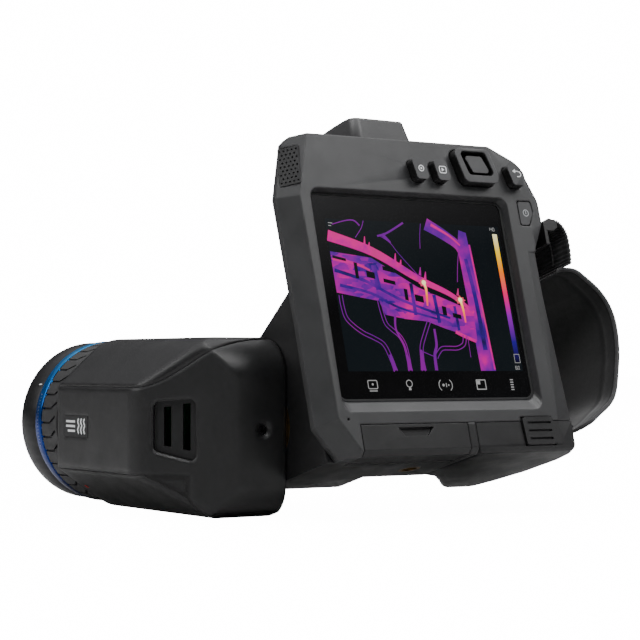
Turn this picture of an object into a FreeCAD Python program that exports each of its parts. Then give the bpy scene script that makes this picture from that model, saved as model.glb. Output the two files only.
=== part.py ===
import FreeCAD, Part
import math
import os
import Sketcher
from FreeCAD import Placement, Rotation, Vector

# Hand-held thermal imaging camera: a display unit with a grip and hand strap, and an
# optical block that tilts on a hub at the display unit's left side.
#
# Row frame: millimetres, +X to the user's right, +Y forwards along the lens, +Z up, lens level.
# The origin lies on the optical block's flat underside, straight below the crossing of the
# lens axis and the tilt axis.
#
# Display parts are drawn upright in the display frame: origin at the display's centre on the
# front of the glass, +X right, +Y forwards into the body, +Z up. Optical parts are drawn in the
# lens frame: origin where the lens axis crosses the tilt axis, +Y along the lens.

SIZES = [
    # where the two frames meet
    ("tilt_angle", 15.5, "lens tilt above the display unit's own forward direction, degrees"),
    ("hub_x", -74.0, "lens axis left of the display centre"),
    ("hub_y", 43.0, "tilt axis in front of the glass"),
    ("hub_z", -41.0, "tilt axis below the display centre"),
    ("running_gap", 0.3, "air between pieces of different bodies"),
    ("wall", 2.4, "thickness of the moulded shells"),
    # display unit
    ("face_y", -3.0, "rear face of the display unit"),
    ("split_y", 7.0, "parting plane between the rear and front shells"),
    ("panel_left", -62.5, "widest point of the rear shell's left edge"),
    ("panel_right", 61.0, "rear shell, right of the keys"),
    ("panel_waist", 55.0, "rear shell, right beside the screen"),
    ("panel_top", 64.0, "top edge of the rear shell"),
    ("parting_z", -51.8, "line where the flap and the battery meet the rear shell"),
    ("fold_z", -61.8, "edge between the rear face and the underside"),
    ("base_z", -64.0, "underside of the display unit"),
    ("flap_left", -44.5, "left end of the connector flap"),
    ("flap_right", 5.2, "right end of the connector flap"),
    ("battery_left", 9.5, "left side of the battery's visible panel"),
    ("glass_left", -51.0, "visible glass, left"),
    ("glass_right", 43.2, "visible glass, right"),
    ("glass_top", 40.8, "visible glass, top"),
    ("glass_bottom", -42.3, "visible glass, bottom"),
    ("glass_thick", 1.1, "cover glass thickness"),
    ("glass_round", 4.0, "corner radius of the glass opening"),
    ("sill", 4.7, "height of the bevel below the glass"),
    ("key_rise", 4.0, "how far the raised keys stand out"),
    ("key_gap", 0.25, "clearance round a key"),
    # grip and battery
    ("grip_right", 65.0, "right side of the grip"),
    ("grip_front", 67.5, "front of the grip"),
    ("grip_top", 34.0, "top of the grip's rounded front"),
    ("spine_front", 36.0, "front of the housing between hub and grip"),
    ("cell_left", 25.0, "battery cell block, left"),
    ("cell_right", 55.0, "battery cell block, right"),
    ("cell_front", 43.0, "battery cell block, front"),
    ("cell_back", 10.0, "battery cell block, back"),
    ("cell_top", 28.0, "battery cell block, top"),
    ("well_gap", 0.6, "clearance of the battery in its well"),
    # hub
    ("hub_face", -55.5, "left face of the hub housing, display frame"),
    ("hub_inner", -20.0, "right end of the hub housing, display frame"),
    ("shaft_r", 12.0, "tilt tube radius"),
    ("shaft_bore_r", 8.0, "cable way through the tilt tube"),
    ("bush_r", 15.0, "outer radius of the hub bush"),
    ("shaft_play", 0.05, "radial clearance of the tilt tube in its bush"),
    # optical block, lens frame
    ("block_half", 34.7, "half height of the optical block"),
    ("block_left", -34.0, "flat side band"),
    ("block_right", 18.0, "side towards the hub"),
    ("block_back", -13.2, "rear face"),
    ("block_front", 79.5, "front edge of the shells"),
    ("facet_start", 12.4, "where the slanting facet leaves the side band"),
    ("band_top", 15.3, "upper edge of the side band"),
    ("band_bottom", -18.0, "lower edge of the side band"),
    ("facet_round", 14.0, "radius where the facet meets the side band and the rear face"),
    ("facet_soft", 4.0, "radius where the facet meets the upper and lower slopes"),
    ("back_round", 16.0, "radius between rear face, top and underside"),
    ("seam_start", -33.2, "where the upper seam leaves the side band, measured along the facet"),
    ("seam_run", 45.0, "length of the upper seam's rise, measured along the facet"),
    ("seam_rise", 18.5, "height that the upper seam gains"),
    ("skin", 2.2, "thickness of the optical shells"),
    ("ring_r", 34.0, "focus and accent ring radius"),
    ("rim_r", 33.5, "front rim radius"),
    ("focus_back", 80.0, "focus ring, back"),
    ("focus_front", 95.2, "focus ring, front"),
    ("accent_front", 102.0, "accent ring, front"),
    ("lens_front", 117.2, "front of the rim"),
    ("barrel_r", 29.5, "barrel under the focus ring"),
    ("lens_r", 23.0, "front element radius"),
    ("grip_grooves", 36, "hook grooves round the focus ring"),
    # strap
    ("strap_back", 2.0, "rear edge of the hand strap pad"),
    ("strap_front", 56.0, "front edge of the hand strap pad"),
    ("strap_thick", 6.0, "hand strap pad thickness"),
]

doc = FreeCAD.newDocument("ThermalCamera")
sheet = doc.addObject("Spreadsheet::Sheet", "Sizes")
for row, (alias, number, meaning) in enumerate(SIZES, start=1):
    sheet.set("A%d" % row, alias)
    sheet.set("B%d" % row, str(number))
    sheet.setAlias("B%d" % row, alias)
    sheet.set("C%d" % row, meaning)
doc.recompute()


class Size:
    """A length with the sheet expression that yields it, so that geometry stays bound."""

    def __init__(self, value, text):
        self.value = float(value)
        self.text = text

    def _join(self, sign, other, value):
        return Size(value, "(%s %s %s)" % (self.text, sign, as_size(other).text))

    def __add__(self, other):
        return self._join("+", other, self.value + as_size(other).value)

    def __sub__(self, other):
        return self._join("-", other, self.value - as_size(other).value)

    def __mul__(self, factor):
        return self._join("*", factor, self.value * as_size(factor).value)

    def __neg__(self):
        return Size(-self.value, "(0 - %s)" % self.text)


def as_size(thing):
    """Plain numbers become sizes too."""
    return thing if isinstance(thing, Size) else Size(thing, repr(float(thing)))


def dim(alias):
    """The named cell of the sheet."""
    return Size(sheet.get(alias), "Sizes.%s" % alias)


# ---------------------------------------------------------------------------
# drawing helpers
# ---------------------------------------------------------------------------
# A sketch on XZ looks along +Y and its normal is -Y, so a pad there grows towards -Y.
NORMAL_SIGN = {"XY": 1, "XZ": -1, "YZ": 1}
NODES = []


def bind(thing, attribute, size):
    """Ties one property of an object to the sheet."""
    thing.setExpression(attribute, as_size(size).text)


def sketch_on(body, plane, level):
    """An empty sketch on one of the body's origin planes, moved to a level along its axis."""
    sketch = body.newObject("Sketcher::SketchObject", body.Name + "_sketch")
    for feature in body.Origin.OriginFeatures:
        if feature.Role == plane + "_Plane":
            sketch.AttachmentSupport = [(feature, "")]
    sketch.MapMode = "FlatFace"
    lift = as_size(level) if NORMAL_SIGN[plane] > 0 else -as_size(level)
    bind(sketch, "AttachmentOffset.Base.z", lift)
    return sketch


def fix_point(sketch, line, corner):
    """Dimensions the start of a line from the origin, in both directions."""
    for kind, size in (("DistanceX", corner[0]), ("DistanceY", corner[1])):
        size = as_size(size)
        number = sketch.addConstraint(Sketcher.Constraint(kind, -1, 1, line, 1, size.value))
        sketch.setExpression("Constraints[%d]" % number, size.text)


def draw_polygon(sketch, corners):
    """A closed outline of straight lines, each corner dimensioned from the origin."""
    points = [Vector(as_size(x).value, as_size(y).value, 0) for x, y in corners]
    count = len(points)
    first = sketch.GeometryCount
    for i in range(count):
        sketch.addGeometry(Part.LineSegment(points[i], points[(i + 1) % count]), False)
    for i in range(count):
        following = first + (i + 1) % count
        sketch.addConstraint(Sketcher.Constraint("Coincident", first + i, 2, following, 1))
    for i in range(count):
        fix_point(sketch, first + i, corners[i])


def draw_circle(sketch, centre, radius):
    """A circle with its centre and radius dimensioned."""
    spot = Vector(as_size(centre[0]).value, as_size(centre[1]).value, 0)
    radius = as_size(radius)
    index = sketch.addGeometry(Part.Circle(spot, Vector(0, 0, 1), radius.value), False)
    for kind, size in (("DistanceX", centre[0]), ("DistanceY", centre[1])):
        size = as_size(size)
        number = sketch.addConstraint(Sketcher.Constraint(kind, -1, 1, index, 3, size.value))
        sketch.setExpression("Constraints[%d]" % number, size.text)
    number = sketch.addConstraint(Sketcher.Constraint("Radius", index, radius.value))
    sketch.setExpression("Constraints[%d]" % number, radius.text)


def box_corners(left, right, low, high):
    return [(left, low), (right, low), (right, high), (left, high)]


def new_body(label):
    body = doc.addObject("PartDesign::Body", label)
    body.Label = label
    return body


def add_pad(body, plane, outlines, low, high):
    """Pads outlines (polygons, or a centre and radius) between two levels of an axis."""
    start = low if NORMAL_SIGN[plane] > 0 else high
    sketch = sketch_on(body, plane, start)
    fill_sketch(sketch, outlines)
    pad = body.newObject("PartDesign::Pad", body.Name + "_pad")
    pad.Profile = sketch
    bind(pad, "Length", as_size(high) - low)
    doc.recompute()
    return pad


def add_pocket(body, plane, outlines, low, high):
    """Cuts outlines out between two levels, and makes sure that something was cut."""
    before = body.Shape.Volume
    start = high if NORMAL_SIGN[plane] > 0 else low
    sketch = sketch_on(body, plane, start)
    fill_sketch(sketch, outlines)
    pocket = body.newObject("PartDesign::Pocket", body.Name + "_pocket")
    pocket.Profile = sketch
    bind(pocket, "Length", as_size(high) - low)
    doc.recompute()
    if not body.Shape.Volume < before - 0.01:
        raise RuntimeError("a pocket in %s cut nothing" % body.Label)
    return pocket


def fill_sketch(sketch, outlines):
    """Draws each outline: a list of corners, or (centre, radius)."""
    for outline in outlines:
        if isinstance(outline, tuple):
            draw_circle(sketch, outline[0], outline[1])
        else:
            draw_polygon(sketch, outline)


def prism(label, plane, outlines, low, high):
    body = new_body(label)
    add_pad(body, plane, outlines, low, high)
    return body


def turned(label, profile):
    """A ring or shaft about the Y axis from a profile of (radius, y) corners."""
    body = new_body(label)
    sketch = sketch_on(body, "XY", 0)
    draw_polygon(sketch, profile)
    turn = body.newObject("PartDesign::Revolution", body.Name + "_turn")
    turn.Profile = sketch
    turn.ReferenceAxis = (sketch, ["V_Axis"])
    turn.Angle = 360
    doc.recompute()
    return body


def edges_near(shape, direction, spots, reach=0.35):
    """Names of the straight edges along a direction that pass near (u, v) spots."""
    names = []
    axes = [i for i in range(3) if abs(direction[i]) < 0.5]
    for number, edge in enumerate(shape.Edges, start=1):
        if len(edge.Vertexes) != 2 or not isinstance(edge.Curve, Part.Line):
            continue
        if abs(abs(edge.tangentAt(edge.FirstParameter).dot(direction)) - 1) > 1e-4:
            continue
        middle = edge.CenterOfMass
        for spot in spots:
            off = [middle[axes[i]] - as_size(spot[i]).value for i in range(2)]
            if abs(off[0]) < reach and abs(off[1]) < reach:
                names.append("Edge%d" % number)
                break
    return names


def dress(body, kind, names, size):
    """Rounds or bevels named edges of the body's last feature."""
    if not names:
        raise RuntimeError("no edge to dress in %s" % body.Label)
    solid = body.Tip
    feature = body.newObject("PartDesign::" + kind, body.Name + "_" + kind.lower())
    feature.Base = (solid, names)
    bind(feature, "Radius" if kind == "Fillet" else "Size", size)
    doc.recompute()
    return feature


def round_corners(body, direction, spots, radius):
    return dress(body, "Fillet", edges_near(body.Shape, direction, spots), radius)


def edges_on(shape, axis, level, reach=0.05):
    """Names of all edges that lie wholly in the plane axis = level."""
    names = []
    for number, edge in enumerate(shape.Edges, start=1):
        box = edge.BoundBox
        low = (box.XMin, box.YMin, box.ZMin)[axis]
        high = (box.XMax, box.YMax, box.ZMax)[axis]
        if abs(low - level) < reach and abs(high - level) < reach:
            names.append("Edge%d" % number)
    return names


def cut(label, base, *tools):
    """Base minus the tools, as one Part boolean."""
    if len(tools) > 1:
        tool = doc.addObject("Part::MultiFuse", label + "_tools")
        tool.Shapes = list(tools)
    else:
        tool = tools[0]
    doc.recompute()
    before = base.Shape.Volume
    result = doc.addObject("Part::Cut", label)
    result.Label = label
    result.Base = base
    result.Tool = tool
    doc.recompute()
    if not result.Shape.Volume < before - 0.01:
        raise RuntimeError("the cut in %s removed nothing" % label)
    return result


def fuse(label, *pieces):
    result = doc.addObject("Part::MultiFuse", label)
    result.Label = label
    result.Shapes = list(pieces)
    result.Refine = True
    doc.recompute()
    return result


def common(label, *pieces):
    result = doc.addObject("Part::MultiCommon", label)
    result.Label = label
    result.Shapes = list(pieces)
    doc.recompute()
    return result


def tube_x(label, centre, outer, inner, low, high):
    """A round tube along X, or a rod when inner is None."""
    outlines = [(centre, outer)]
    if inner is not None:
        outlines.append((centre, inner))
    return prism(label, "YZ", outlines, low, high)


def place_display(thing):
    """Stands a display part at its tilt about the hub."""
    angle = dim("tilt_angle").value
    lift = Placement(Vector(0, 0, dim("block_half").value), Rotation())
    tilt = Placement(Vector(0, 0, 0), Rotation(Vector(1, 0, 0), -angle))
    hub = Vector(dim("hub_x").value, dim("hub_y").value, dim("hub_z").value)
    shift = Placement(-hub, Rotation())
    thing.Placement = lift.multiply(tilt).multiply(shift)
    NODES.append(thing)
    return thing


def place_optics(thing):
    """Puts an optical part with the lens axis level above the origin."""
    thing.Placement = Placement(Vector(0, 0, dim("block_half").value), Rotation())
    NODES.append(thing)
    return thing


X_AXIS = Vector(1, 0, 0)
Y_AXIS = Vector(0, 1, 0)
Z_AXIS = Vector(0, 0, 1)

FACE = dim("face_y")
SPLIT = dim("split_y")
WALL = dim("wall")
GAP = dim("running_gap")
PARTING = dim("parting_z")
BASE = dim("base_z")


# ---------------------------------------------------------------------------
# display unit: shells
# ---------------------------------------------------------------------------
def make_rear_shell():
    """Tray-shaped rear half: bevelled left band, sloped glass opening, key and speaker openings."""
    right = dim("panel_right")
    waist = dim("panel_waist")
    top = dim("panel_top")
    corner_x = dim("flap_left") - GAP
    outline = [
        (corner_x, BASE), (-52, BASE), (-60.4, -51.5), (-61, -10), (dim("panel_left"), 39),
        (-56, 61.8), (-53.6, top), (39.6, top), (53.8, 57.2), (right, 41), (right, 31.5), (waist, 20),
        (waist, 0), (58, PARTING), (corner_x, PARTING),
    ]
    body = prism("rear_shell_outer", "XZ", [outline], FACE, SPLIT)
    round_corners(body, Y_AXIS, [(53.8, 57.2), (right, 41)], 9)
    round_corners(body, Y_AXIS, [(right, 31.5)], 5)
    round_corners(body, Y_AXIS, [(waist, 20)], 9)
    front = [name for name in edges_on(body.Shape, 1, FACE.value) if in_band(body.Shape, name)]
    band = dress(body, "Chamfer", front, 7.2)
    band.ChamferType = "Two distances"
    band.Size2 = 6.5
    doc.recompute()
    cut_rear_openings(body)
    bevels = [side_bevel("rear_shell_bevel"), fold_bevel("rear_shell_fold")]
    tools = [glass_funnel(), speaker_recess()] + bevels
    opened = cut("rear_shell_opened", body, *tools)
    bossed = fuse("rear_shell_bossed", opened, *rear_bosses())
    threads = prism("boss_holes", "XZ", [(spot, 1.32) for spot in shell_screw_spots()], 2, 8)
    return place_display(node("rear_shell", cut("rear_shell_cut", bossed, threads)))


def rear_bosses():
    """Screw bosses of the rear shell."""
    side = prism("side_boss", "XZ", [box_corners(-55.5, -47.5, -2.5, 4.5)], 1.4, SPLIT)
    upper = [(spot, 3.0) for spot in shell_screw_spots() if spot[1] > 30]
    return [side, prism("upper_bosses", "XZ", upper, -0.5, SPLIT)]


def in_band(shape, name):
    """Whether an edge of the rear face borders the bevelled left band."""
    box = shape.getElement(name).BoundBox
    return box.XMax < -51.9 and box.ZMax < 62


def node(label, thing):
    """The object that is written out carries the node's own name as its Label."""
    thing.Label = label
    return thing


def cut_rear_openings(body):
    """Cavity behind the face, key holes, latch notch and microphone hole."""
    lower_left = dim("flap_left") - GAP - WALL
    ceiling = dim("panel_top") - WALL
    cavity = [
        (lower_left, PARTING + WALL), (lower_left, -59.5), (-54, -49.5), (-54.5, -40), (-54.5, 37),
        (-48.5, ceiling), (39, ceiling), (53, 55.4), (58.2, 43), (58.2, 33), (52.4, 21), (52.4, 0),
        (55.2, PARTING + WALL),
    ]
    add_pocket(body, "XZ", [cavity], 0, SPLIT)
    gap = dim("key_gap")
    margins = (gap, gap, 0.45, gap, 0.5)
    for outline, margin, radius in zip(key_outlines(), margins, (1.8, 1.8, 3.2, 1.8, 1.2)):
        opening = grown(outline, margin)
        add_pocket(body, "XZ", [opening], FACE, 0)
        round_corners(body, Y_AXIS, opening, radius)
    add_pocket(body, "XZ", [latch_outline(0.3)], FACE, 2)
    add_pocket(body, "XZ", [((-49.6, -49.9), 0.6)], FACE, 0)


def leaning_key(left, right, low, high, lean):
    """A key whose sides lean: its top edge is shifted left of its bottom edge."""
    return [(left + lean, low), (right + lean, low), (right, high), (left, high)]


def key_outlines():
    """Openings for programmable, gallery, navigation, back and power keys, in that order."""
    return [
        leaning_key(-3.4, 2.7, 46.5, 55.2, 1.8),
        leaning_key(7.2, 13.4, 46.5, 55.1, 1.8),
        leaning_key(18.1, 36.2, 46.4, 61, 4.3),
        [(46.9, 46.4), (53.6, 46.4), (52.6, 52), (50.4, 54.9), (44.3, 54.9)],
        [(50.2, 30.6), (54.3, 30.6), (57.2, 35.8), (56.6, 40.6), (50.2, 40.6)],
    ]


def grown(outline, margin):
    """A convex outline moved outwards from its middle by a margin in each direction."""
    xs = [as_size(p[0]).value for p in outline]
    ys = [as_size(p[1]).value for p in outline]
    middle = (sum(xs) / len(xs), sum(ys) / len(ys))
    moved = []
    for x, y in outline:
        dx = margin if as_size(x).value > middle[0] else -as_size(margin)
        dy = margin if as_size(y).value > middle[1] else -as_size(margin)
        moved.append((as_size(x) + dx, as_size(y) + dy))
    return moved


def latch_outline(margin):
    """Outline of the ribbed latch on the rear face, wider by a margin all round."""
    return grown([(32.6, -61.6), (47.9, -61.6), (47.2, -50.4), (31.9, -50.4)], margin)


def soft_box(left, right, low, high, radius):
    """A rectangle whose corners are rounded in four short steps."""
    corners = [(left, low, 1, 1, 180), (right, low, -1, 1, 270), (right, high, -1, -1, 0),
               (left, high, 1, -1, 90)]
    points = []
    for x, y, inward_x, inward_y, start in corners:
        for step in range(5):
            angle = math.radians(start + step * 22.5)
            x_share = inward_x + math.cos(angle)
            y_share = inward_y + math.sin(angle)
            points.append((x + radius * x_share, y + radius * y_share))
    return points


def glass_funnel():
    """The opening over the glass: it narrows from the rear face to the glass."""
    radius = dim("glass_round")
    inner = soft_box(dim("glass_left"), dim("glass_right"), dim("glass_bottom"), dim("glass_top"), radius)
    outer = soft_box(dim("glass_left") - 0.3, dim("glass_right") + 1.4,
                     dim("glass_bottom") - dim("sill"), dim("glass_top") + 1.0, radius)
    body = new_body("glass_funnel")
    near = sketch_on(body, "XZ", FACE - 0.01)
    draw_polygon(near, outer)
    far = sketch_on(body, "XZ", 0.01)
    draw_polygon(far, inner)
    loft = body.newObject("PartDesign::AdditiveLoft", "glass_funnel_loft")
    loft.Profile = near
    loft.Sections = [far]
    loft.Ruled = True
    doc.recompute()
    return body


def side_bevel(label):
    """Shallow slope along the right of the rear face, from a crease outwards."""
    slope = [(50.8, FACE - 0.5), (63, FACE - 0.5), (63, FACE + 1.6), (50.8, FACE - 0.01)]
    return prism(label, "XY", [slope], -66, 19)


def fold_bevel(label):
    """The slope between the rear face and the underside."""
    slope = [(FACE - 1, dim("fold_z")), (FACE, dim("fold_z")), (FACE + 2.2, BASE), (FACE + 2.2, BASE - 1),
             (FACE - 1, BASE - 1)]
    return prism(label, "YZ", [slope], -64, 70)


def speaker_recess():
    """Shallow pocket with rows of sound holes, square to the slanting left band."""
    body = prism("speaker_recess", "XY", [box_corners(-4.6, 4.6, -8.6, 8.6)], -0.8, 2)
    round_corners(body, Z_AXIS, [(-4.6, -8.6), (4.6, -8.6), (4.6, 8.6), (-4.6, 8.6)], 1.2)
    holes = sound_holes("speaker_holes", 0.42, -8, 2)
    tool = fuse("speaker_cutter", body, holes)
    tool.Placement = speaker_seat()
    return tool


def sound_holes(label, radius, low, high):
    """Staggered rows of small holes."""
    circles = []
    for row in range(9):
        for column in range(5 - row % 2):
            x = (column - 2 + 0.5 * (row % 2)) * 1.7
            circles.append(((x, (row - 4) * 1.75), radius))
    return prism(label, "XY", circles, low, high)


def speaker_seat():
    """Middle of the slanting band's upper part, with the seat's Z axis pointing outwards."""
    outward = Vector(-0.75, -0.63, 0.22)
    along = Vector(0.17, 0.14, 0.98)
    return Placement(Vector(-56.6, 0.9, 51.5), Rotation(along.cross(outward), along, outward, "ZXY"))


def make_speaker():
    """Round loudspeaker behind the sound holes."""
    rod = prism("speaker", "XY", [((0, 0), 6.5)], -3.6, -0.6)
    seat = Placement(Vector(-43.5, 3.2, 50), Rotation(Vector(1, 0, 0), 90))
    frame = place_display(rod)
    frame.Placement = frame.Placement.multiply(seat)


def grip_plan():
    """Plan outline of the battery's chin and of the grip above it."""
    right = dim("grip_right")
    front = dim("grip_front")
    return [
        (dim("battery_left"), FACE), (58, FACE), (62.5, 5), (right, 16), (right, 38), (61.5, 55),
        (57, front), (41, front), (33, 58), (19, 43), (dim("battery_left"), 38),
    ]


def round_grip(body):
    """Rounds the upright edges of a body with the grip's plan."""
    corners = grip_plan()
    round_corners(body, Z_AXIS, corners[1:3], 4)
    round_corners(body, Z_AXIS, corners[3:5], 8)
    round_corners(body, Z_AXIS, corners[5:9], 6)


def make_front_shell():
    """Forward half: hub housing at the left, spine in the middle, hand grip at the right."""
    low = PARTING + 0.1
    hub = prism("hub_block", "YZ", [hub_profile()], dim("hub_face"), dim("hub_inner"))
    round_corners(hub, X_AXIS, [(60, -64)], 13)
    round_corners(hub, X_AXIS, [(72, -44)], 12)
    round_corners(hub, X_AXIS, [(62, -12)], 12)
    round_corners(hub, X_AXIS, [(39, -5)], 8)
    spine = prism("spine_block", "YZ", [spine_profile()], -38, 56)
    ledge = prism("ledge_block", "YZ", [ledge_profile()], -44, dim("battery_left") - GAP)
    rib = prism("rib_block", "YZ", [box_corners(FACE, 12, BASE, PARTING - 0.2)],
                dim("flap_right") + GAP, dim("battery_left") - GAP)
    lip = prism("lip_block", "XZ", [lip_outline()], SPLIT + 0.05, 9.5)
    grip = prism("grip_block", "XY", [grip_plan()], low, dim("grip_top"))
    round_grip(grip)
    behind = prism("grip_clear", "XY", [box_corners(0, 70, -10, SPLIT + 0.05)], -70, 70)
    grip_cut = cut("grip_trimmed", grip, behind)
    crown_slope = prism("grip_slope", "YZ", [[(30, 46), (80, 22), (80, 80), (30, 80)]], -20, 80)
    grip_top = cut("grip_sloped", grip_cut, crown_slope)
    outer = fuse("front_outer", hub, spine, ledge, rib, lip, grip_top)
    hollow = fuse("front_hollow", *front_cavities())
    shell = cut("front_hollowed", outer, hollow)
    bosses = front_bosses()
    solid = fuse("front_solid", shell, bosses)
    result = cut("front_cut", solid, *front_holes())
    return place_display(node("front_shell", result))


def hub_profile():
    """Side outline of the hub housing: flat underside, round nose, sloping top."""
    return [(SPLIT + 0.05, BASE), (60, BASE), (72, -44), (62, -12), (39, -5), (14, 6), (SPLIT + 0.05, 8)]


def ledge_profile():
    """Underside between hub and grip, stepped to leave room for the connector flap."""
    back = SPLIT + 0.05
    front = dim("spine_front")
    return [(back, -40), (back, -51), (12, -51), (12, BASE), (front, BASE), (front, -40)]


def lip_outline():
    """Rim that closes the rear shell's open back."""
    return [(-55.4, -50), (56, -50), (53.5, 0), (53.5, 21), (58, 34), (58, 42), (51, 55.5), (39, 61),
            (-50, 61), (-55.4, 40)]


def spine_profile():
    """Side outline of the middle and top of the display unit's forward half."""
    front = dim("spine_front")
    return [(SPLIT + 0.05, -44), (front, -44), (front, 46), (front - 10, 61), (SPLIT + 0.05, 61)]


def front_cavities():
    """Room for the boards, the battery well and the hub's cable way."""
    gap = dim("well_gap")
    spine = prism("spine_cavity", "YZ", [box_corners(0, 33, -41, 40)], -35, 20)
    upper = prism("upper_cavity", "YZ", [[(0, 38), (33, 38), (33, 46), (25, 58), (0, 58)]], -35, 53)
    well = prism("well_cavity", "XY", [box_corners(dim("cell_left") - gap, dim("cell_right") + gap,
                                                   dim("cell_back") - gap, dim("cell_front") + gap)],
                 -80, dim("cell_top") + 3)
    hub = prism("hub_cavity", "YZ", [box_corners(14, 58, -60, -16)], -37, -23)
    lip = prism("lip_cavity", "YZ", [box_corners(0, 12, -42, -6)], -46, 20)
    front = prism("nose_cavity", "XY", [box_corners(41.5, 56, 48, 63.5)], -46, 24)
    return [spine, upper, well, hub, lip, front]


def front_bosses():
    """Posts round the tripod insert and the upper shell screws."""
    tripod = prism("tripod_post", "XY", [((-6, 24), 8)], BASE, -38)
    upper = [(spot, 4.6) for spot in shell_screw_spots() if spot[1] > 30]
    return fuse("front_posts", tripod, prism("screw_posts", "XZ", upper, SPLIT + 0.05, 27))


def front_holes():
    """Hub bore, tripod hole, trigger and button openings, screw holes, flap bay and rear fold."""
    hub_centre = (dim("hub_y"), dim("hub_z"))
    bore = tube_x("hub_bore", hub_centre, dim("bush_r") + 0.02, None, -60, -38)
    cable = tube_x("hub_cable_way", hub_centre, dim("shaft_r") + 0.6, None, -40, -30)
    tripod = prism("tripod_hole", "XY", [((-6, 24), 4.52)], BASE - 1, -50)
    trigger = prism("trigger_hole", "XZ", [trigger_outline(0.3)], 60, 80)
    buttons = prism("button_holes", "XY", [(spot, size + 0.3) for spot, size in top_buttons()], 27.5, 45)
    stems = prism("stem_holes", "XY", [(spot, 2.3) for spot, size in top_buttons()], 20, 28)
    screws = prism("screw_holes", "XZ", [(spot, 1.6) for spot in shell_screw_spots()], 5, 70)
    wells = prism("screw_wells", "XZ", [(spot, 3.2) for spot in shell_screw_spots()], 12, 70)
    bay = prism("flap_bay", "YZ", [box_corners(0, 12, -66, -51)], dim("flap_left") - GAP,
                dim("flap_right") + GAP)
    fold = fold_bevel("front_fold")
    return [bore, cable, tripod, trigger, buttons, stems, screws, wells, bay, fold]


def top_buttons():
    """Centre and radius of the focus and laser buttons on top of the grip."""
    return [((48.5, 53), 5.0), ((35.5, 50), 4.0)]


def shell_screw_spots():
    return [(-50.5, 1), (-32, 55.5), (-12, 55.5)]


def trigger_outline(margin):
    """Tall trigger on the front of the grip."""
    return grown([(43.5, -6), (54, -6), (54, 16), (43.5, 16)], margin)


# ---------------------------------------------------------------------------
# display unit: screen, boards and sound
# ---------------------------------------------------------------------------
def plate(label, left, right, low, high, back, front, radius):
    """Upright plate with rounded corners, from y back to y front."""
    body = prism(label, "XZ", [box_corners(left, right, low, high)], back, front)
    round_corners(body, Y_AXIS, box_corners(left, right, low, high), radius)
    return body


def make_screen():
    back = dim("glass_thick") + 0.05
    glass = plate("display_glass", dim("glass_left") - 1, dim("glass_right") + 1.3,
                  dim("glass_bottom") - 1.3, dim("glass_top") + 1.2, 0.05, back, 5)
    place_display(glass)
    panel = plate("lcd_panel", -46.3, 41.5, -34, 34, back + 0.15, back + 3.2, 1)
    place_display(panel)
    board = prism("board_plate", "XZ", [box_corners(-33, 19, -39, 37)], 10, 11.6)
    chips = prism("main_board_chips", "XZ", [
        box_corners(-24, -8, -12, 4), box_corners(-2, 8, -10, 0), box_corners(-20, -12, 14, 24),
        box_corners(2, 14, 12, 20)], 11.5, 13.4)
    place_display(node("main_board", fuse("main_board_fused", board, chips)))
    place_display(prism("key_board", "XZ", [
        [(-6, 43.6), (45, 43.6), (45, 55.8), (36.5, 60), (-6, 60)]], 4.2, 5.2))


def make_sound():
    make_speaker()
    grille = prism("grille_plate", "XY", [box_corners(-4.3, 4.3, -8.3, 8.3)], -0.75, -0.35)
    holes = sound_holes("grille_holes", 0.42, -1, 0.5)
    grid = cut("grille_cut", grille, holes)
    place_display(node("speaker_grille", grid))
    grid.Placement = grid.Placement.multiply(speaker_seat())
    place_display(prism("microphone", "XZ", [((-49.6, -49.9), 1.6)], 0.05, 1.3))


# ---------------------------------------------------------------------------
# display unit: keys
# ---------------------------------------------------------------------------
def raised_key(label, outline, rise):
    """A key that stands out of the face, with a wider flange and a plunger behind it."""
    body = prism(label, "XZ", [outline], FACE - rise, 0.3)
    round_corners(body, Y_AXIS, outline, 1.6 if rise else 1)
    add_pad(body, "XZ", [grown(outline, 0.7)], 0.3, 1.1)
    add_pad(body, "XZ", [grown(outline, -1.2)], 1.1, 3.1)
    return place_display(body)


def make_keys():
    outlines = key_outlines()
    rise = dim("key_rise")
    raised_key("p_button", outlines[0], rise)
    raised_key("gallery_button", outlines[1], rise)
    raised_key("back_button", outlines[3], rise)
    raised_key("power_button", outlines[4], 0)
    make_navigation(outlines[2], rise)


def make_navigation(outline, rise):
    """Five-way key: a ring that rocks both ways round a square centre key that is pressed."""
    ring = prism("nav_pad", "XZ", [outline], FACE - rise, 0.1)
    round_corners(ring, Y_AXIS, outline, 3)
    pocket = leaning_key(21.3, 34.2, 49.6, 59.6, 3.5)
    add_pocket(ring, "XZ", [pocket], FACE - rise, 0.1)
    round_corners(ring, Y_AXIS, pocket, 1.6)
    place_display(ring)
    centre = leaning_key(24, 32.7, 51, 58, 3.5)
    key = prism("nav_center", "XZ", [centre], FACE - rise + 1.0, 1.2)
    round_corners(key, Y_AXIS, centre, 1.2)
    place_display(key)
    gimbal = prism("nav_gimbal", "XZ", [leaning_key(19.8, 36, 47.4, 60.4, 4.2)], 0.8, 1.8)
    add_pocket(gimbal, "XZ", [leaning_key(21.6, 34.6, 49.4, 59.4, 3.6)], 0.8, 1.8)
    place_display(gimbal)


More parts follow.
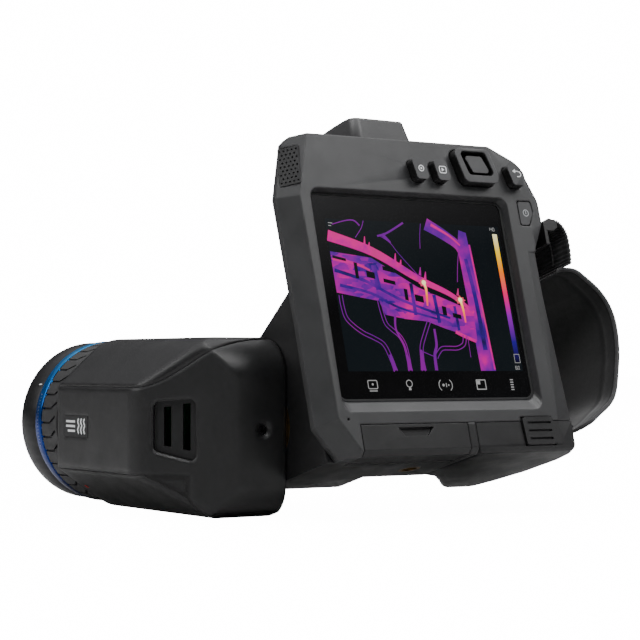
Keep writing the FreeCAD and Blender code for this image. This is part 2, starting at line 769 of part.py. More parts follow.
# ---------------------------------------------------------------------------
# display unit: connectors and battery
# ---------------------------------------------------------------------------
def make_flap():
    """L-shaped cover: upright face with a finger notch, and a foot that reaches the hinge."""
    left = dim("flap_left")
    right = dim("flap_right")
    profile = [
        (FACE, PARTING - GAP), (FACE, BASE), (9.6, BASE), (9.6, -62.2), (-0.8, -61.6),
        (-0.8, PARTING - GAP),
    ]
    shell = prism("flap_blank", "YZ", [profile], left, right)
    notch = prism("flap_notch", "XZ", [[(-27.5, -53.4), (-25, -56.8), (-14.2, -56.8), (-11, -53.4)]],
                  FACE - 1, FACE + 1.4)
    knuckle = tube_x("flap_knuckle", (8.6, -62.6), 1.35, None, left, right)
    bore = tube_x("flap_bore", (8.6, -62.6), 0.75, None, left - 1, right + 1)
    body = fuse("flap_fused", shell, knuckle)
    place_display(node("connector_flap", cut("flap_cut", body, notch, bore, fold_bevel("flap_fold"))))
    place_display(tube_x("flap_pin", (8.6, -62.6), 0.7, None, left - 0.2, right + 0.2))


def make_ports():
    """Connector strip under the flap, with two sockets and a card slot."""
    strip = prism("port_blank", "XZ", [box_corners(-43, 3.8, -60.6, -52.4)], 1.5, 11.95)
    sockets = prism("port_sockets", "XZ", [
        box_corners(-38, -28.5, -58.2, -54.8), box_corners(-22, -8, -58.8, -54.2),
        box_corners(-4, 1.5, -59, -54)], 0, 3.9)
    place_display(node("port_strip", cut("port_cut", strip, sockets)))
    place_display(prism("port_tongue", "XZ", [box_corners(-36.5, -30, -56.9, -56.1)], 1.8, 3.85))


def make_battery():
    """Cell block with a chin that forms the grip's foot; it slides down out of the grip."""
    chin = prism("battery_chin", "XY", [grip_plan()], BASE, PARTING - GAP)
    round_grip(chin)
    dress(chin, "Fillet", edges_on(chin.Shape, 2, BASE.value), 3)
    cells = prism("battery_cells", "XY", [box_corners(dim("cell_left"), dim("cell_right"),
                                                      dim("cell_back"), dim("cell_front"))],
                  -60, dim("cell_top"))
    body = fuse("battery_fused", chin, cells)
    rear = prism("rear_latch_well", "XZ", [latch_outline(0.3)], FACE - 2, FACE + 5.2)
    front = prism("front_latch_well", "XZ", [front_latch(0.3)], dim("grip_front") - 5.2, 70)
    contacts = prism("contact_wells", "XY", [((30, 14), 1.6), ((30, 20), 1.6), ((30, 26), 1.6)],
                     dim("cell_top") - 0.6, 40)
    bevel = side_bevel("battery_bevel")
    place_display(node("battery_pack", cut("battery_cut", body, rear, front, contacts, bevel)))
    place_display(prism("battery_contacts", "XY", [((30, 14), 1.2), ((30, 20), 1.2), ((30, 26), 1.2)],
                        dim("cell_top") + 0.3, dim("cell_top") + 2.9))


def front_latch(margin):
    return grown([(44, -61.5), (55, -61.5), (55, -54.5), (44, -54.5)], margin)


def make_latches():
    """Ribbed release latches, pressed inwards to free the battery."""
    rear = prism("battery_latch_rear", "XZ", [latch_outline(0)], FACE - 1.0, FACE + 3.4)
    round_corners(rear, Y_AXIS, latch_outline(0), 1.6)
    grooves = [box_corners(34.4, 46, z - 0.45, z + 0.45) for z in (-52.8, -56.0, -59.2)]
    add_pocket(rear, "XZ", grooves, FACE - 1.0, FACE - 0.2)
    place_display(rear)
    front = prism("battery_latch_front", "XZ", [front_latch(0)], dim("grip_front") - 3.4,
                  dim("grip_front") + 0.8)
    round_corners(front, Y_AXIS, front_latch(0), 1.4)
    grooves = [box_corners(45.6, 53.4, z - 0.4, z + 0.4) for z in (-56.2, -58.0, -59.8)]
    add_pocket(front, "XZ", grooves, dim("grip_front") + 0.1, dim("grip_front") + 0.8)
    place_display(front)


# ---------------------------------------------------------------------------
# display unit: grip, top and strap
# ---------------------------------------------------------------------------
def make_antenna_cover():
    """Raised cover on the top, with a slanted left end."""
    back = SPLIT + 0.3
    profile = [(-31, 61.05), (10.2, 61.05), (5.8, 76.5), (-19.5, 76.8), (-24.5, 74.2), (-31, 67)]
    front = prism("antenna_front", "XZ", [profile], back, 34)
    round_corners(front, Y_AXIS, profile[2:3], 1.5)
    round_corners(front, Y_AXIS, profile[3:6], 6)
    plan = [(-17.5, back), (11, back), (11, 30), (6, 34), (-22, 34), (-32, 26), (-32, 21)]
    top = prism("antenna_plan", "XY", [plan], 60, 78)
    round_corners(top, Z_AXIS, plan[0:1], 6)
    slope = prism("antenna_slope", "YZ", [[(0, 60), (36, 60), (30, 74), (18, 78), (0, 78)]], -32, 12)
    place_display(node("antenna_cover", common("antenna_common", front, top, slope)))


def make_grip_buttons():
    """Trigger on the grip's front, focus and laser buttons on its top."""
    front = dim("grip_front")
    trigger = prism("trigger_button", "XZ", [trigger_outline(0)], 63.2, front + 2.2)
    round_corners(trigger, Y_AXIS, trigger_outline(0), 2.5)
    add_pad(trigger, "XZ", [grown(trigger_outline(0), 0.9)], 61.6, 63.2)
    place_display(trigger)
    for label, (spot, radius) in zip(("focus_button", "laser_button"), top_buttons()):
        body = prism(label, "XY", [(spot, radius)], 29.6, dim("grip_top") + 1.6)
        rim = edges_on(body.Shape, 2, dim("grip_top").value + 1.6)
        dress(body, "Fillet", rim, 0.6)
        add_pad(body, "XY", [(spot, 2.0)], 22.2, 29.6)
        place_display(body)


def make_grip_cover():
    """Soft overmould round the front of the grip."""
    outer = [(61.9, 55), (57.2, 67.9), (40.8, 67.9), (32.6, 58.2), (21.8, 46.8)]
    inner = [(22.1, 46.5), (32.85, 57.95), (41, 67.55), (57.05, 67.55), (61.6, 55)]
    band = prism("grip_band", "XY", [outer + inner], -48, 26)
    round_corners(band, Z_AXIS, [outer[1], outer[2], inner[2], inner[3]], 6)
    window = prism("grip_window", "XZ", [trigger_outline(1.2)], 60, 75)
    place_display(node("grip_cover", cut("grip_cover_cut", band, window)))


def strap_line(offset):
    """Outer line of the hand strap pad in the XZ plane, moved inwards by an offset."""
    return [
        (78 - offset * 0.4, 16.6 - offset * 0.9), (87.5 - offset * 0.7, 8.4 - offset * 0.7),
        (93.8 - offset * 0.9, 1 - offset * 0.4), (96.2 - offset, -9), (95.6 - offset, -20),
        (92.6 - offset * 0.95, -31.5 + offset * 0.3), (86 - offset * 0.8, -43.6 + offset * 0.6),
        (74.5 - offset * 0.55, -51.8 + offset * 0.85),
    ]


def make_strap():
    """Hand strap: bracket and webbing at the top, curved pad, webbing and anchor at the bottom."""
    outer = strap_line(0)
    inner = list(reversed(strap_line(dim("strap_thick").value)))
    place_display(prism("hand_strap_pad", "XZ", [outer + inner], dim("strap_back"), dim("strap_front")))
    side = dim("grip_right") + 0.05
    seat = prism("bracket_seat", "XZ", [box_corners(side, side + 1.8, 24, 33.5)], 0.6, 44)
    arm = [(side, 30), (side, 33.5), (68.6, 35.6), (72.4, 34.6), (72.6, 31.6), (70, 30)]
    near = prism("bracket_near_arm", "XZ", [arm], 0.6, 3)
    far = prism("bracket_far_arm", "XZ", [arm], 41.4, 44)
    bar = prism("bracket_bar", "XZ", [((70.6, 33), 1.6)], 2, 43)
    place_display(node("strap_bracket", fuse("bracket_fused", seat, near, far, bar)))
    upper = [
        (69.4, 34.9), (71.2, 36.3), (75.2, 36), (78.6, 32.6), (79.8, 27), (79.4, 17.8), (77.4, 17.8),
        (77.8, 27), (76.8, 31.6), (74.4, 34.1), (72.7, 34.6), (71.4, 34.75),
    ]
    place_display(prism("strap_webbing_upper", "XZ", [upper], 3.4, 41.0))
    lower = [(71, -49.6), (70, -50.4), (67.5, -47.4), (67.5, -38), (68.9, -38), (69.1, -46.9)]
    place_display(prism("strap_webbing_lower", "XZ", [lower], 12, 40))
    anchor = prism("strap_anchor", "YZ", [box_corners(14, 38, -47, -35)], side, side + 2.1)
    place_display(anchor)


# ---------------------------------------------------------------------------
# display unit: hub and fasteners
# ---------------------------------------------------------------------------
def make_hub():
    """Bush that carries the tilt tube, and the threaded insert in the underside."""
    hub_centre = (dim("hub_y"), dim("hub_z"))
    place_display(tube_x("hub_bush", hub_centre, dim("bush_r"), dim("shaft_r") + dim("shaft_play"),
                         dim("hub_face") + 0.2, -38.2))
    place_display(prism("tripod_insert", "XY", [((-6, 24), 4.5), ((-6, 24), 3.175)], BASE, -50.4))


def make_shell_screws():
    """Pan-head screws that hold the two shells together."""
    spots = shell_screw_spots()
    shanks = prism("shell_screws", "XZ", [(spot, 1.28) for spot in spots], 2.3, 12.1)
    add_pad(shanks, "XZ", [(spot, 2.8) for spot in spots], 12.05, 14.2)
    add_pocket(shanks, "XZ", [(spot, 1.1) for spot in spots], 13, 14.2)
    place_display(shanks)


# ---------------------------------------------------------------------------
# optical block: shells
# ---------------------------------------------------------------------------
def block_plan(inset):
    """Plan outline: the rear left corner is cut off by the slanting facet."""
    back = dim("block_back") + inset
    left = dim("block_left") + inset
    right = dim("block_right") - inset
    return [(right, back), (inset * 0.41 - 8.4, back), (left, dim("facet_start") + inset * 0.41),
            (left, dim("block_front")), (right, dim("block_front"))]


def block_solid(label, inset):
    """The block's outer form, or its hollow when inset by the skin thickness."""
    half = dim("block_half") - inset
    left = dim("block_left") + inset
    right = dim("block_right") - inset
    plan = prism(label + "_plan", "XY", [block_plan(inset)], -half, half)
    corners = [block_plan(inset)[1], block_plan(inset)[2]]
    round_corners(plan, Z_AXIS, corners, dim("facet_round"))
    ends = [(right, half - 1.9), (right - 2, half), (-12.5, half), (left, dim("band_top") - inset * 0.3),
            (left, dim("band_bottom") + inset * 0.3), (-10, -half), (right - 2, -half),
            (right, -(half - 1.9))]
    cross = prism(label + "_cross", "XZ", [ends], -20, dim("block_front"))
    round_corners(cross, Y_AXIS, [(-12.5, half)], 20)
    round_corners(cross, Y_AXIS, [(-10, -half)], 14)
    back = dim("block_back") + inset
    side = prism(label + "_side", "YZ", [box_corners(back, dim("block_front"), -half, half)], -40, 20)
    round_corners(side, X_AXIS, [(back, half)], dim("back_round") - inset)
    round_corners(side, X_AXIS, [(back, -half)], 12 - inset)
    return common(label, plan, cross, side)


def soften_facet(label, base, radius):
    """Rounds the two slanting edges between the facet and the block's upper and lower slopes."""
    rounded = doc.addObject("Part::Fillet", label)
    rounded.Base = base
    picks = []
    for number, edge in enumerate(base.Shape.Edges, start=1):
        if isinstance(edge.Curve, Part.Line):
            run = edge.tangentAt(edge.FirstParameter)
            if min(abs(run.x), abs(run.y), abs(run.z)) > 0.2:
                picks.append((number, radius, radius))
    rounded.Edges = picks
    doc.recompute()
    return rounded


def seam_plan(margin):
    """Plan outline of the bottom shell; it stops short of the facet and the rear."""
    return [(19, -7 - margin), (-8, -6 - margin), (-19 - margin, -2.2 - margin),
            (-34.6 - margin, 13.4 - margin), (-34.6 - margin, 81), (19, 81)]


def upper_region(label, level):
    """Everything above the upper seam: level along the side band, then an S-shaped rise over the facet."""
    steps = 12
    start = dim("seam_start").value
    curve = []
    for i in range(steps + 1):
        share = i / steps
        gain = dim("seam_rise").value * (1 - math.cos(math.pi * share)) / 2
        curve.append((start + dim("seam_run").value * share, level + gain))
    outline = [(-100, level)] + curve + [(60, curve[-1][1]), (60, 50), (-100, 50)]
    region = prism(label, "XZ", [outline], -80, 80)
    region.Placement = Placement(Vector(0, 0, 0), Rotation(Z_AXIS, -45))
    return region


def make_block_shells():
    """Top, bottom and side shells of the optical block, cut from one hollow form."""
    skin = dim("skin").value
    outer = soften_facet("block_soft", block_solid("block_outer", 0.0), dim("facet_soft").value)
    hollow = block_solid("block_hollow", skin)
    side_hole = tube_x("block_side_hole", (0, 0), dim("shaft_r") + 0.05, None, 15.6, 25)
    lens_way = turned("block_lens_way", [(0, 57), (31.9, 57), (31.9, 85), (0, 85)])
    shell = cut("block_shell", outer, hollow, side_hole, lens_way)
    top = upper_region("seam_top", dim("band_top").value + 0.1)
    bottom = prism("seam_bottom", "XY", [seam_plan(0.0)], -40, dim("band_bottom") - 0.1)
    top_wide = upper_region("seam_top_wide", dim("band_top").value - 0.08)
    bottom_wide = prism("seam_bottom_wide", "XY", [seam_plan(0.14)], -40, dim("band_bottom") + 0.04)
    place_optics(node("optic_top_shell", common("top_common", shell, top)))
    lower = common("bottom_common", shell, bottom)
    place_optics(node("optic_bottom_shell", cut("bottom_cut", lower, index_tool(1.06, 3))))
    recess = prism("slot_recess", "XY", [slot_outline(0)], -4, 3)
    round_corners(recess, Z_AXIS, slot_outline(0), 2.4)
    recess.Placement = facet_seat()
    well = prism("screw_sink", "XZ", [((8, -0.9), 3.2)], -20, -12.6)
    hole = prism("screw_bore", "XZ", [((8, -0.9), 2.05)], -20, -5)
    badge = prism("badge_recess", "YZ", [badge_outline(0.05)], -36, -33.5)
    side = cut("side_cut", shell, top_wide, bottom_wide, recess, well, hole, badge)
    place_optics(node("optic_side_shell", side))


def facet_seat():
    """Middle of the slanting facet, its Z axis pointing outwards and its Y axis up."""
    outward = Vector(-1, -1, 0).normalize()
    up = Vector(0, 0, 1)
    return Placement(Vector(-21.2, -0.4, 0), Rotation(up.cross(outward), up, outward, "ZXY"))


def slot_outline(margin):
    """Opening over the strap slots, on the facet."""
    return grown([(-10.8, -8.8), (6.3, -13), (6, 11.2), (-10.8, 9.8)], margin)


def badge_outline(margin):
    """Blank badge on the side band."""
    return grown([(52, -5), (73, -5), (73, 3.6), (52, 3.6)], margin)


def index_tool(radius, height):
    """Round lens-alignment mark at the lower left of the front edge."""
    body = prism("index_pin", "XY", [((0, 0), radius)], -0.7, height)
    outward = Vector(-16.7, 0, -24).normalize()
    along = Vector(0, 1, 0)
    turn = Rotation(along.cross(outward), along, outward, "ZXY")
    body.Placement = Placement(Vector(-22.7, 75.5, -25.85), turn)
    return body


def on_block(thing, seat):
    """Places a part that was drawn about a seat on the optical block."""
    place_optics(thing)
    thing.Placement = thing.Placement.multiply(seat)
    return thing


def make_block_details():
    """Strap slot plate, screw, badge, index mark and the housing round the lens barrel."""
    blank = prism("slot_plate_blank", "XY", [slot_outline(1.5)], -4.4, -2.3)
    slots = prism("slot_openings", "XY", [
        [(-7.1, -6.8), (-4.2, -7.2), (-4.2, 8.2), (-7.1, 8.0)],
        [(0.4, -8.2), (3.4, -8.6), (3.4, 9.4), (0.4, 9.2)]], -6, 0)
    on_block(node("strap_slot_plate", cut("slot_plate_cut", blank, slots)), facet_seat())
    screw = prism("optic_screw", "XZ", [((8, -0.9), 2.0)], -11.6, -5.2)
    add_pocket(screw, "XZ", [((8, -0.9), 1.1)], -11.6, -10)
    place_optics(screw)
    place_optics(prism("side_badge", "YZ", [badge_outline(0)], -34.1, -33.55))
    mark = index_tool(1.0, 0.12)
    mark.Label = "index_mark"
    on_block(mark, mark.Placement)
    ring = turned("shroud_ring", [(31.8, 54.2), (34, 54.2), (34, 79.5), (31.8, 79.5)])
    wall = turned("shroud_wall", [(0, 54.2), (33, 54.2), (33, 56.4), (0, 56.4)])
    keep = prism("shroud_keep", "XY", [box_corners(dim("block_right") + 0.05, 40, 50, 85)], -40, 40)
    both = fuse("shroud_both", ring, wall)
    place_optics(node("barrel_shroud", common("shroud_common", both, keep)))


# ---------------------------------------------------------------------------
# optical block: lens
# ---------------------------------------------------------------------------
def make_lens():
    """Barrel, focus ring, accent ring, front rim and the two lens elements."""
    barrel = dim("barrel_r")
    focus_back = dim("focus_back")
    accent_back = dim("focus_front") + GAP
    accent = dim("accent_front")
    front = dim("lens_front")
    ring = dim("ring_r")
    rim = dim("rim_r")
    place_optics(turned("lens_barrel", [
        (26, 58), (31.5, 58), (31.5, 61), (barrel, 61), (barrel, accent), (26, accent)]))
    place_optics(make_focus_ring(barrel + 0.3, ring, focus_back, dim("focus_front")))
    place_optics(turned("accent_ring", [
        (barrel + 0.05, accent_back), (ring - 0.5, accent_back), (ring, accent_back + 0.5),
        (ring, accent - 0.8), (ring - 0.8, accent), (barrel + 0.05, accent)]))
    bezel = turned("bezel_turned", [
        (23.5, accent + 0.05), (rim, accent + 0.05), (rim, front - 1.5), (rim - 1.5, front), (31.4, front),
        (30.4, front - 3), (24.6, front - 4.2), (23.5, front - 5)])
    holes = []
    for label, spots, radius in bezel_parts():
        wide = [(spot, radius + 0.05) for spot in spots]
        holes.append(prism(label + "_hole", "XZ", wide, accent + 2, front + 1))
        exact = [(spot, radius) for spot in spots]
        place_optics(prism(label, "XZ", exact, accent + 2.05, front - 3.9))
    place_optics(node("front_rim", cut("front_rim_cut", bezel, *holes)))
    place_optics(turned("front_lens", lens_profile(dim("lens_r"), accent + 2, front - 6.2, 3.2)))
    place_optics(turned("rear_lens", lens_profile(as_size(16), 64, as_size(70), 1.5)))
    place_optics(turned("lens_cell", [
        (16.1, 63), (25.9, 63), (25.9, 72), (23.2, 76), (22.4, 76), (22.4, 74), (16.1, 71)]))


def bezel_parts():
    """Visual camera, laser pointer and two lamps, set in the face round the lens."""
    return [("visual_camera", [(0, 27.3)], 2.6), ("laser_pointer", [(9.2, 25.6)], 1.6),
            ("lamps", [(-13.5, -23.7), (13.5, -23.7)], 2.2)]


def lens_profile(radius, back, rim, bulge):
    """Half section of a lens with a flat back and a domed front."""
    steps = 10
    dome = []
    for i in range(steps + 1):
        share = i / steps
        dome.append((radius * (1 - share), rim + bulge * (1 - (1 - share) ** 2)))
    return [(0, back), (radius, back)] + dome


def make_focus_ring(bore, outer, back, front):
    """Ring with hooked finger grooves all round."""
    body = turned("focus_ring", [
        (bore, back), (outer - 0.8, back), (outer, back + 0.8), (outer, front - 0.5), (outer - 0.5, front),
        (bore, front)])
    hook = [(-0.45, 95.6), (-0.45, 87), (2.3, 82.2), (3.2, 82.8), (0.45, 87.4), (0.45, 95.6)]
    groove = add_pocket(body, "XY", [hook], 32.9, 36)
    pattern = body.newObject("PartDesign::PolarPattern", "focus_ring_grooves")
    pattern.Originals = [groove]
    for feature in body.Origin.OriginFeatures:
        if feature.Role == "Y_Axis":
            pattern.Axis = (feature, [""])
    pattern.Angle = 360
    bind(pattern, "Occurrences", dim("grip_grooves"))
    body.Tip = pattern
    doc.recompute()
    return body


def make_block_inside():
    """Detector, its board and the tilt tube that joins the block to the display unit."""
    sensor = prism("detector_can", "XZ", [((-4, 0), 12)], 30, 46)
    base = prism("detector_base", "XZ", [box_corners(-22, 14, -20, 20)], 24, 30.5)
    place_optics(node("detector_module", fuse("detector_fused", sensor, base)))
    place_optics(prism("optics_board", "XZ", [box_corners(-22, 14, -20, 20)], 19, 20.6))
    centre = (0, 0)
    tube = tube_x("tilt_tube", centre, dim("shaft_r"), dim("shaft_bore_r"), 15.9, 41.5)
    neck = tube_x("tilt_neck", centre, 10.5, dim("shaft_bore_r"), 12.8, 16)
    place_optics(node("tilt_shaft", fuse("tilt_fused", tube, neck)))
    place_optics(tube_x("shaft_ring", centre, 14.3, dim("shaft_r") + 0.03, 37.4, 39.2))


# ---------------------------------------------------------------------------
# build, check and write
# ---------------------------------------------------------------------------
def check_document():
    """Stops when an object is in error or when a node's solid is not sound."""
    bad = [thing.Label for thing in doc.Objects if {"Invalid", "Error"} & set(thing.State)]
    for thing in NODES:
        shape = thing.Shape
        if shape.isNull() or not shape.isValid() or not shape.Solids:
            bad.append(thing.Label)
    if bad:
        raise RuntimeError("objects in error: " + ", ".join(bad))
    labels = [thing.Label for thing in NODES]
    if len(set(labels)) != len(labels):
        raise RuntimeError("two nodes share a name")


def write_nodes():
    os.makedirs("parts", exist_ok=True)
    for thing in NODES:
        thing.Shape.exportStep("parts/%s.step" % thing.Label)


make_rear_shell()
make_front_shell()
make_screen()
make_sound()
make_keys()
make_flap()
make_ports()
make_battery()
make_latches()
make_antenna_cover()
make_grip_buttons()
make_grip_cover()
make_strap()
make_hub()
make_shell_screws()
make_block_shells()
make_block_details()
make_lens()
make_block_inside()
doc.recompute()
check_document()
write_nodes()
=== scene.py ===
import math

import bpy
from mathutils import Matrix, Vector


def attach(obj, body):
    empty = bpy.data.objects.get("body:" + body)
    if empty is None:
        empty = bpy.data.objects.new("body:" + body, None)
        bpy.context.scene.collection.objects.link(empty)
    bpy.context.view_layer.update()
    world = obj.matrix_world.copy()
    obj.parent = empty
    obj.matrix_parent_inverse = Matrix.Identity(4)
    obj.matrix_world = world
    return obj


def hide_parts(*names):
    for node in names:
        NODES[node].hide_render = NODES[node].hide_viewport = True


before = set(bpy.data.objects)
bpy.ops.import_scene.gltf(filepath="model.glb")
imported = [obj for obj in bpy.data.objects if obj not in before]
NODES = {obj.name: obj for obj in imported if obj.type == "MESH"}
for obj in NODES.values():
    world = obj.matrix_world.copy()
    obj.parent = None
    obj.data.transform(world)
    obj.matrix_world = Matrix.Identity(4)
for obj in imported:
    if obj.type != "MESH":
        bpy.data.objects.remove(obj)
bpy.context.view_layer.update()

# Lengths in this script are millimetres until a piece is built; pieces are in metres.
MM = 0.001
TILT = math.radians(15.5)
HUB = Vector((-74.0, 43.0, -41.0))
BLOCK_HALF = 34.7
LIFT = Matrix.Translation((0, 0, BLOCK_HALF))
# display frame: origin at the display's centre on the glass, X right, Y into the body, Z up
DISPLAY = LIFT @ Matrix.Rotation(-TILT, 4, "X") @ Matrix.Translation(-HUB)
# lens frame: origin where the lens axis crosses the tilt axis, Y forwards along the lens
OPTICS = LIFT
FACE = -3.0
KEY_TOP = FACE - 4.0
GLASS = 0.05


# --------------------------------------------------------------------------
# materials
# --------------------------------------------------------------------------
class Paint:
    """One Principled material, built from nodes in the object's own coordinates."""

    def __init__(self, name, **sockets):
        self.material = bpy.data.materials.new(name)
        self.material.use_nodes = True
        self.tree = self.material.node_tree
        self.shader = self.tree.nodes["Principled BSDF"]
        self.place = self.node("ShaderNodeTexCoord").outputs["Object"]
        for socket, value in sockets.items():
            self.shader.inputs[socket.replace("_", " ")].default_value = value

    def node(self, kind, **settings):
        made = self.tree.nodes.new(kind)
        for key, value in settings.items():
            setattr(made, key, value)
        return made

    def link(self, source, target):
        self.tree.links.new(source, target)

    def stretched(self, factors):
        """The coordinates multiplied by factors along X, Y and Z."""
        scale = self.node("ShaderNodeVectorMath", operation="MULTIPLY")
        scale.inputs[1].default_value = factors
        self.link(self.place, scale.inputs[0])
        return scale.outputs[0]

    def noise(self, scale, detail=3.0, place=None, contrast=0.5):
        texture = self.node("ShaderNodeTexNoise")
        texture.inputs["Scale"].default_value = scale
        texture.inputs["Detail"].default_value = detail
        texture.inputs["Roughness"].default_value = contrast
        self.link(place or self.place, texture.inputs["Vector"])
        return texture.outputs["Fac"]

    def wave(self, scale, place=None, distortion=0.0):
        texture = self.node("ShaderNodeTexWave", wave_profile="SIN")
        texture.inputs["Scale"].default_value = scale
        texture.inputs["Distortion"].default_value = distortion
        self.link(place or self.place, texture.inputs["Vector"])
        return texture.outputs["Fac"]

    def along(self, direction, offset=0.0):
        """Distance in metres along a direction, from the row's origin plus an offset."""
        dot = self.node("ShaderNodeVectorMath", operation="DOT_PRODUCT")
        dot.inputs[1].default_value = direction
        self.link(self.place, dot.inputs[0])
        return self.math("ADD", dot.outputs["Value"], offset)

    def math(self, operation, first, second):
        sum_node = self.node("ShaderNodeMath", operation=operation)
        for socket, value in zip(sum_node.inputs, (first, second)):
            if isinstance(value, (int, float)):
                socket.default_value = value
            else:
                self.link(value, socket)
        return sum_node.outputs[0]

    def ramp(self, factor, stops, low=0.0, high=1.0):
        """Colours at stops between 0 and 1, after factor is mapped from low..high."""
        spread = self.node("ShaderNodeMapRange")
        spread.inputs["From Min"].default_value = low
        spread.inputs["From Max"].default_value = high
        self.link(factor, spread.inputs["Value"])
        ramp = self.node("ShaderNodeValToRGB")
        elements = ramp.color_ramp.elements
        while len(elements) < len(stops):
            elements.new(0.5)
        for element, (position, colour) in zip(elements, stops):
            element.position = position
            element.color = (*colour, 1.0)
        self.link(spread.outputs["Result"], ramp.inputs["Fac"])
        return ramp.outputs["Color"]

    def grey(self, factor, low, high, start=0.3, end=0.7):
        """A number from low to high as factor goes from start to end."""
        spread = self.node("ShaderNodeMapRange")
        spread.inputs["From Min"].default_value = start
        spread.inputs["From Max"].default_value = end
        spread.inputs["To Min"].default_value = low
        spread.inputs["To Max"].default_value = high
        self.link(factor, spread.inputs["Value"])
        return spread.outputs["Result"]

    def bump(self, height, strength, depth, rounding=0.0):
        bump = self.node("ShaderNodeBump")
        if rounding:
            edge = self.node("ShaderNodeBevel", samples=6)
            edge.inputs["Radius"].default_value = rounding
            self.link(edge.outputs["Normal"], bump.inputs["Normal"])
        bump.inputs["Strength"].default_value = strength
        bump.inputs["Distance"].default_value = depth
        self.link(height, bump.inputs["Height"])
        self.link(bump.outputs["Normal"], self.shader.inputs["Normal"])

    def colour(self, source):
        self.link(source, self.shader.inputs["Base Color"])

    def rough(self, source):
        self.link(source, self.shader.inputs["Roughness"])

    def glow(self, source, strength):
        self.link(source, self.shader.inputs["Emission Color"])
        self.shader.inputs["Emission Strength"].default_value = strength


def shade(colour, factor):
    return tuple(channel * factor for channel in colour)


def moulded(name, colour, roughness=0.5, grain=0.3, rounding=0.0):
    """Spark-eroded plastic: fine pebble grain, faint patches, slightly uneven gloss."""
    paint = Paint(name, Specular_IOR_Level=0.42)
    patches = paint.noise(35, 4)
    paint.colour(paint.ramp(patches, [(0.0, shade(colour, 0.86)), (1.0, shade(colour, 1.14))], 0.3, 0.7))
    paint.rough(paint.grey(paint.noise(90, 3), roughness - 0.05, roughness + 0.07))
    paint.bump(paint.noise(2600, 2), grain, 0.00006, rounding)
    return paint.material


def key_cap(name, top, side, edge):
    """Two-shot key: grey top, black sides below an edge at a depth in the display frame."""
    paint = Paint(name, Specular_IOR_Level=0.4)
    inwards = Vector((0, math.cos(TILT), -math.sin(TILT)))
    offset = HUB.y * MM - BLOCK_HALF * MM * inwards.z
    depth = paint.along(inwards, offset)
    patches = paint.noise(120, 3)
    flick = paint.math("MULTIPLY", patches, 0.00004)
    level = paint.math("ADD", depth, flick)
    stops = [(0.0, shade(top, 1.06)), (0.45, top), (0.55, side), (1.0, side)]
    paint.colour(paint.ramp(level, stops, (edge - 0.06) * MM, (edge + 0.06) * MM))
    paint.rough(paint.grey(patches, 0.46, 0.58))
    paint.bump(paint.noise(2400, 2), 0.25, 0.00005)
    return paint.material


def rubber(name, colour, roughness=0.72, grain=0.5):
    paint = Paint(name, Specular_IOR_Level=0.3, Sheen_Weight=0.08, Sheen_Roughness=0.5)
    patches = paint.noise(60, 4)
    paint.colour(paint.ramp(patches, [(0.0, shade(colour, 0.8)), (1.0, shade(colour, 1.25))], 0.3, 0.7))
    paint.rough(paint.grey(paint.noise(200, 2), roughness - 0.08, roughness + 0.08))
    paint.bump(paint.noise(1500, 3), grain, 0.00007)
    return paint.material


def turned_metal(name, colour, roughness, metallic=1.0, line=2600):
    """Lathe-turned metal: fine lines round the Y axis."""
    paint = Paint(name, Metallic=metallic, Anisotropic=0.4)
    lines = paint.noise(1.0, 2, paint.stretched((30, line, 30)))
    patches = paint.noise(25, 2)
    paint.colour(paint.ramp(patches, [(0.0, shade(colour, 0.85)), (1.0, shade(colour, 1.15))], 0.3, 0.7))
    paint.rough(paint.grey(lines, roughness - 0.06, roughness + 0.08))
    paint.bump(lines, 0.12, 0.00004)
    return paint.material


def accent_metal():
    """Blue anodised ring with painted light: the blue is lighter towards the top, where the light falls,
    and deeper low on the ring.
    """
    paint = Paint("blue_anodised", Metallic=0.8, Anisotropic=0.4)
    lines = paint.noise(1.0, 2, paint.stretched((30, 2600, 30)))
    # painted light: colour by height, deep blue low on the ring and lighter cyan at its top
    height = paint.along((0, 0, 1))
    stops = [(0.0, (0.0, 0.012, 0.10)), (0.5, (0.0, 0.03, 0.22)),
             (0.8, (0.0, 0.13, 0.42)), (1.0, (0.0, 0.26, 0.60))]
    paint.colour(paint.ramp(height, stops, 0.0, 2 * BLOCK_HALF * MM))
    paint.rough(paint.grey(lines, 0.2, 0.32))
    paint.bump(lines, 0.12, 0.00004)
    return paint.material


def plain_metal(name, colour, roughness):
    paint = Paint(name, Metallic=1.0)
    scratches = paint.noise(1.0, 3, paint.stretched((900, 60, 900)))
    paint.colour(paint.ramp(scratches, [(0.0, shade(colour, 0.8)), (1.0, colour)], 0.3, 0.7))
    paint.rough(paint.grey(scratches, roughness - 0.05, roughness + 0.1))
    paint.bump(scratches, 0.1, 0.00003)
    return paint.material


def cover_glass():
    """Polished black glass with faint smears."""
    paint = Paint("cover_glass", Specular_IOR_Level=0.5, Coat_Weight=0.4, Coat_Roughness=0.02)
    smears = paint.noise(18, 4)
    stops = [(0.0, (0.0016, 0.0016, 0.0018)), (1.0, (0.003, 0.003, 0.0034))]
    paint.colour(paint.ramp(smears, stops, 0.3, 0.7))
    paint.rough(paint.grey(smears, 0.03, 0.07))
    return paint.material


def coated_lens(name, middle, rim):
    """Infrared lens coating: its own tint in the middle, and a painted reflection towards the rim, where
    the coating's glancing colour is fixed by distance from the axis.
    """
    paint = Paint(name, Metallic=0.85)
    flat_place = paint.node("ShaderNodeVectorMath", operation="SUBTRACT")
    flat_place.inputs[1].default_value = (0, 0, BLOCK_HALF * MM)
    paint.link(paint.stretched((1, 0, 1)), flat_place.inputs[0])
    radius = paint.node("ShaderNodeVectorMath", operation="LENGTH")
    paint.link(flat_place.outputs[0], radius.inputs[0])
    # painted reflection: the magenta towards the rim stands for the coating's glancing-angle colour
    stops = [(0.0, middle), (0.55, shade(rim, 0.6)), (1.0, rim)]
    paint.colour(paint.ramp(radius.outputs["Value"], stops, 0.0, 24 * MM))
    paint.rough(paint.grey(paint.noise(40, 2), 0.04, 0.09))
    return paint.material


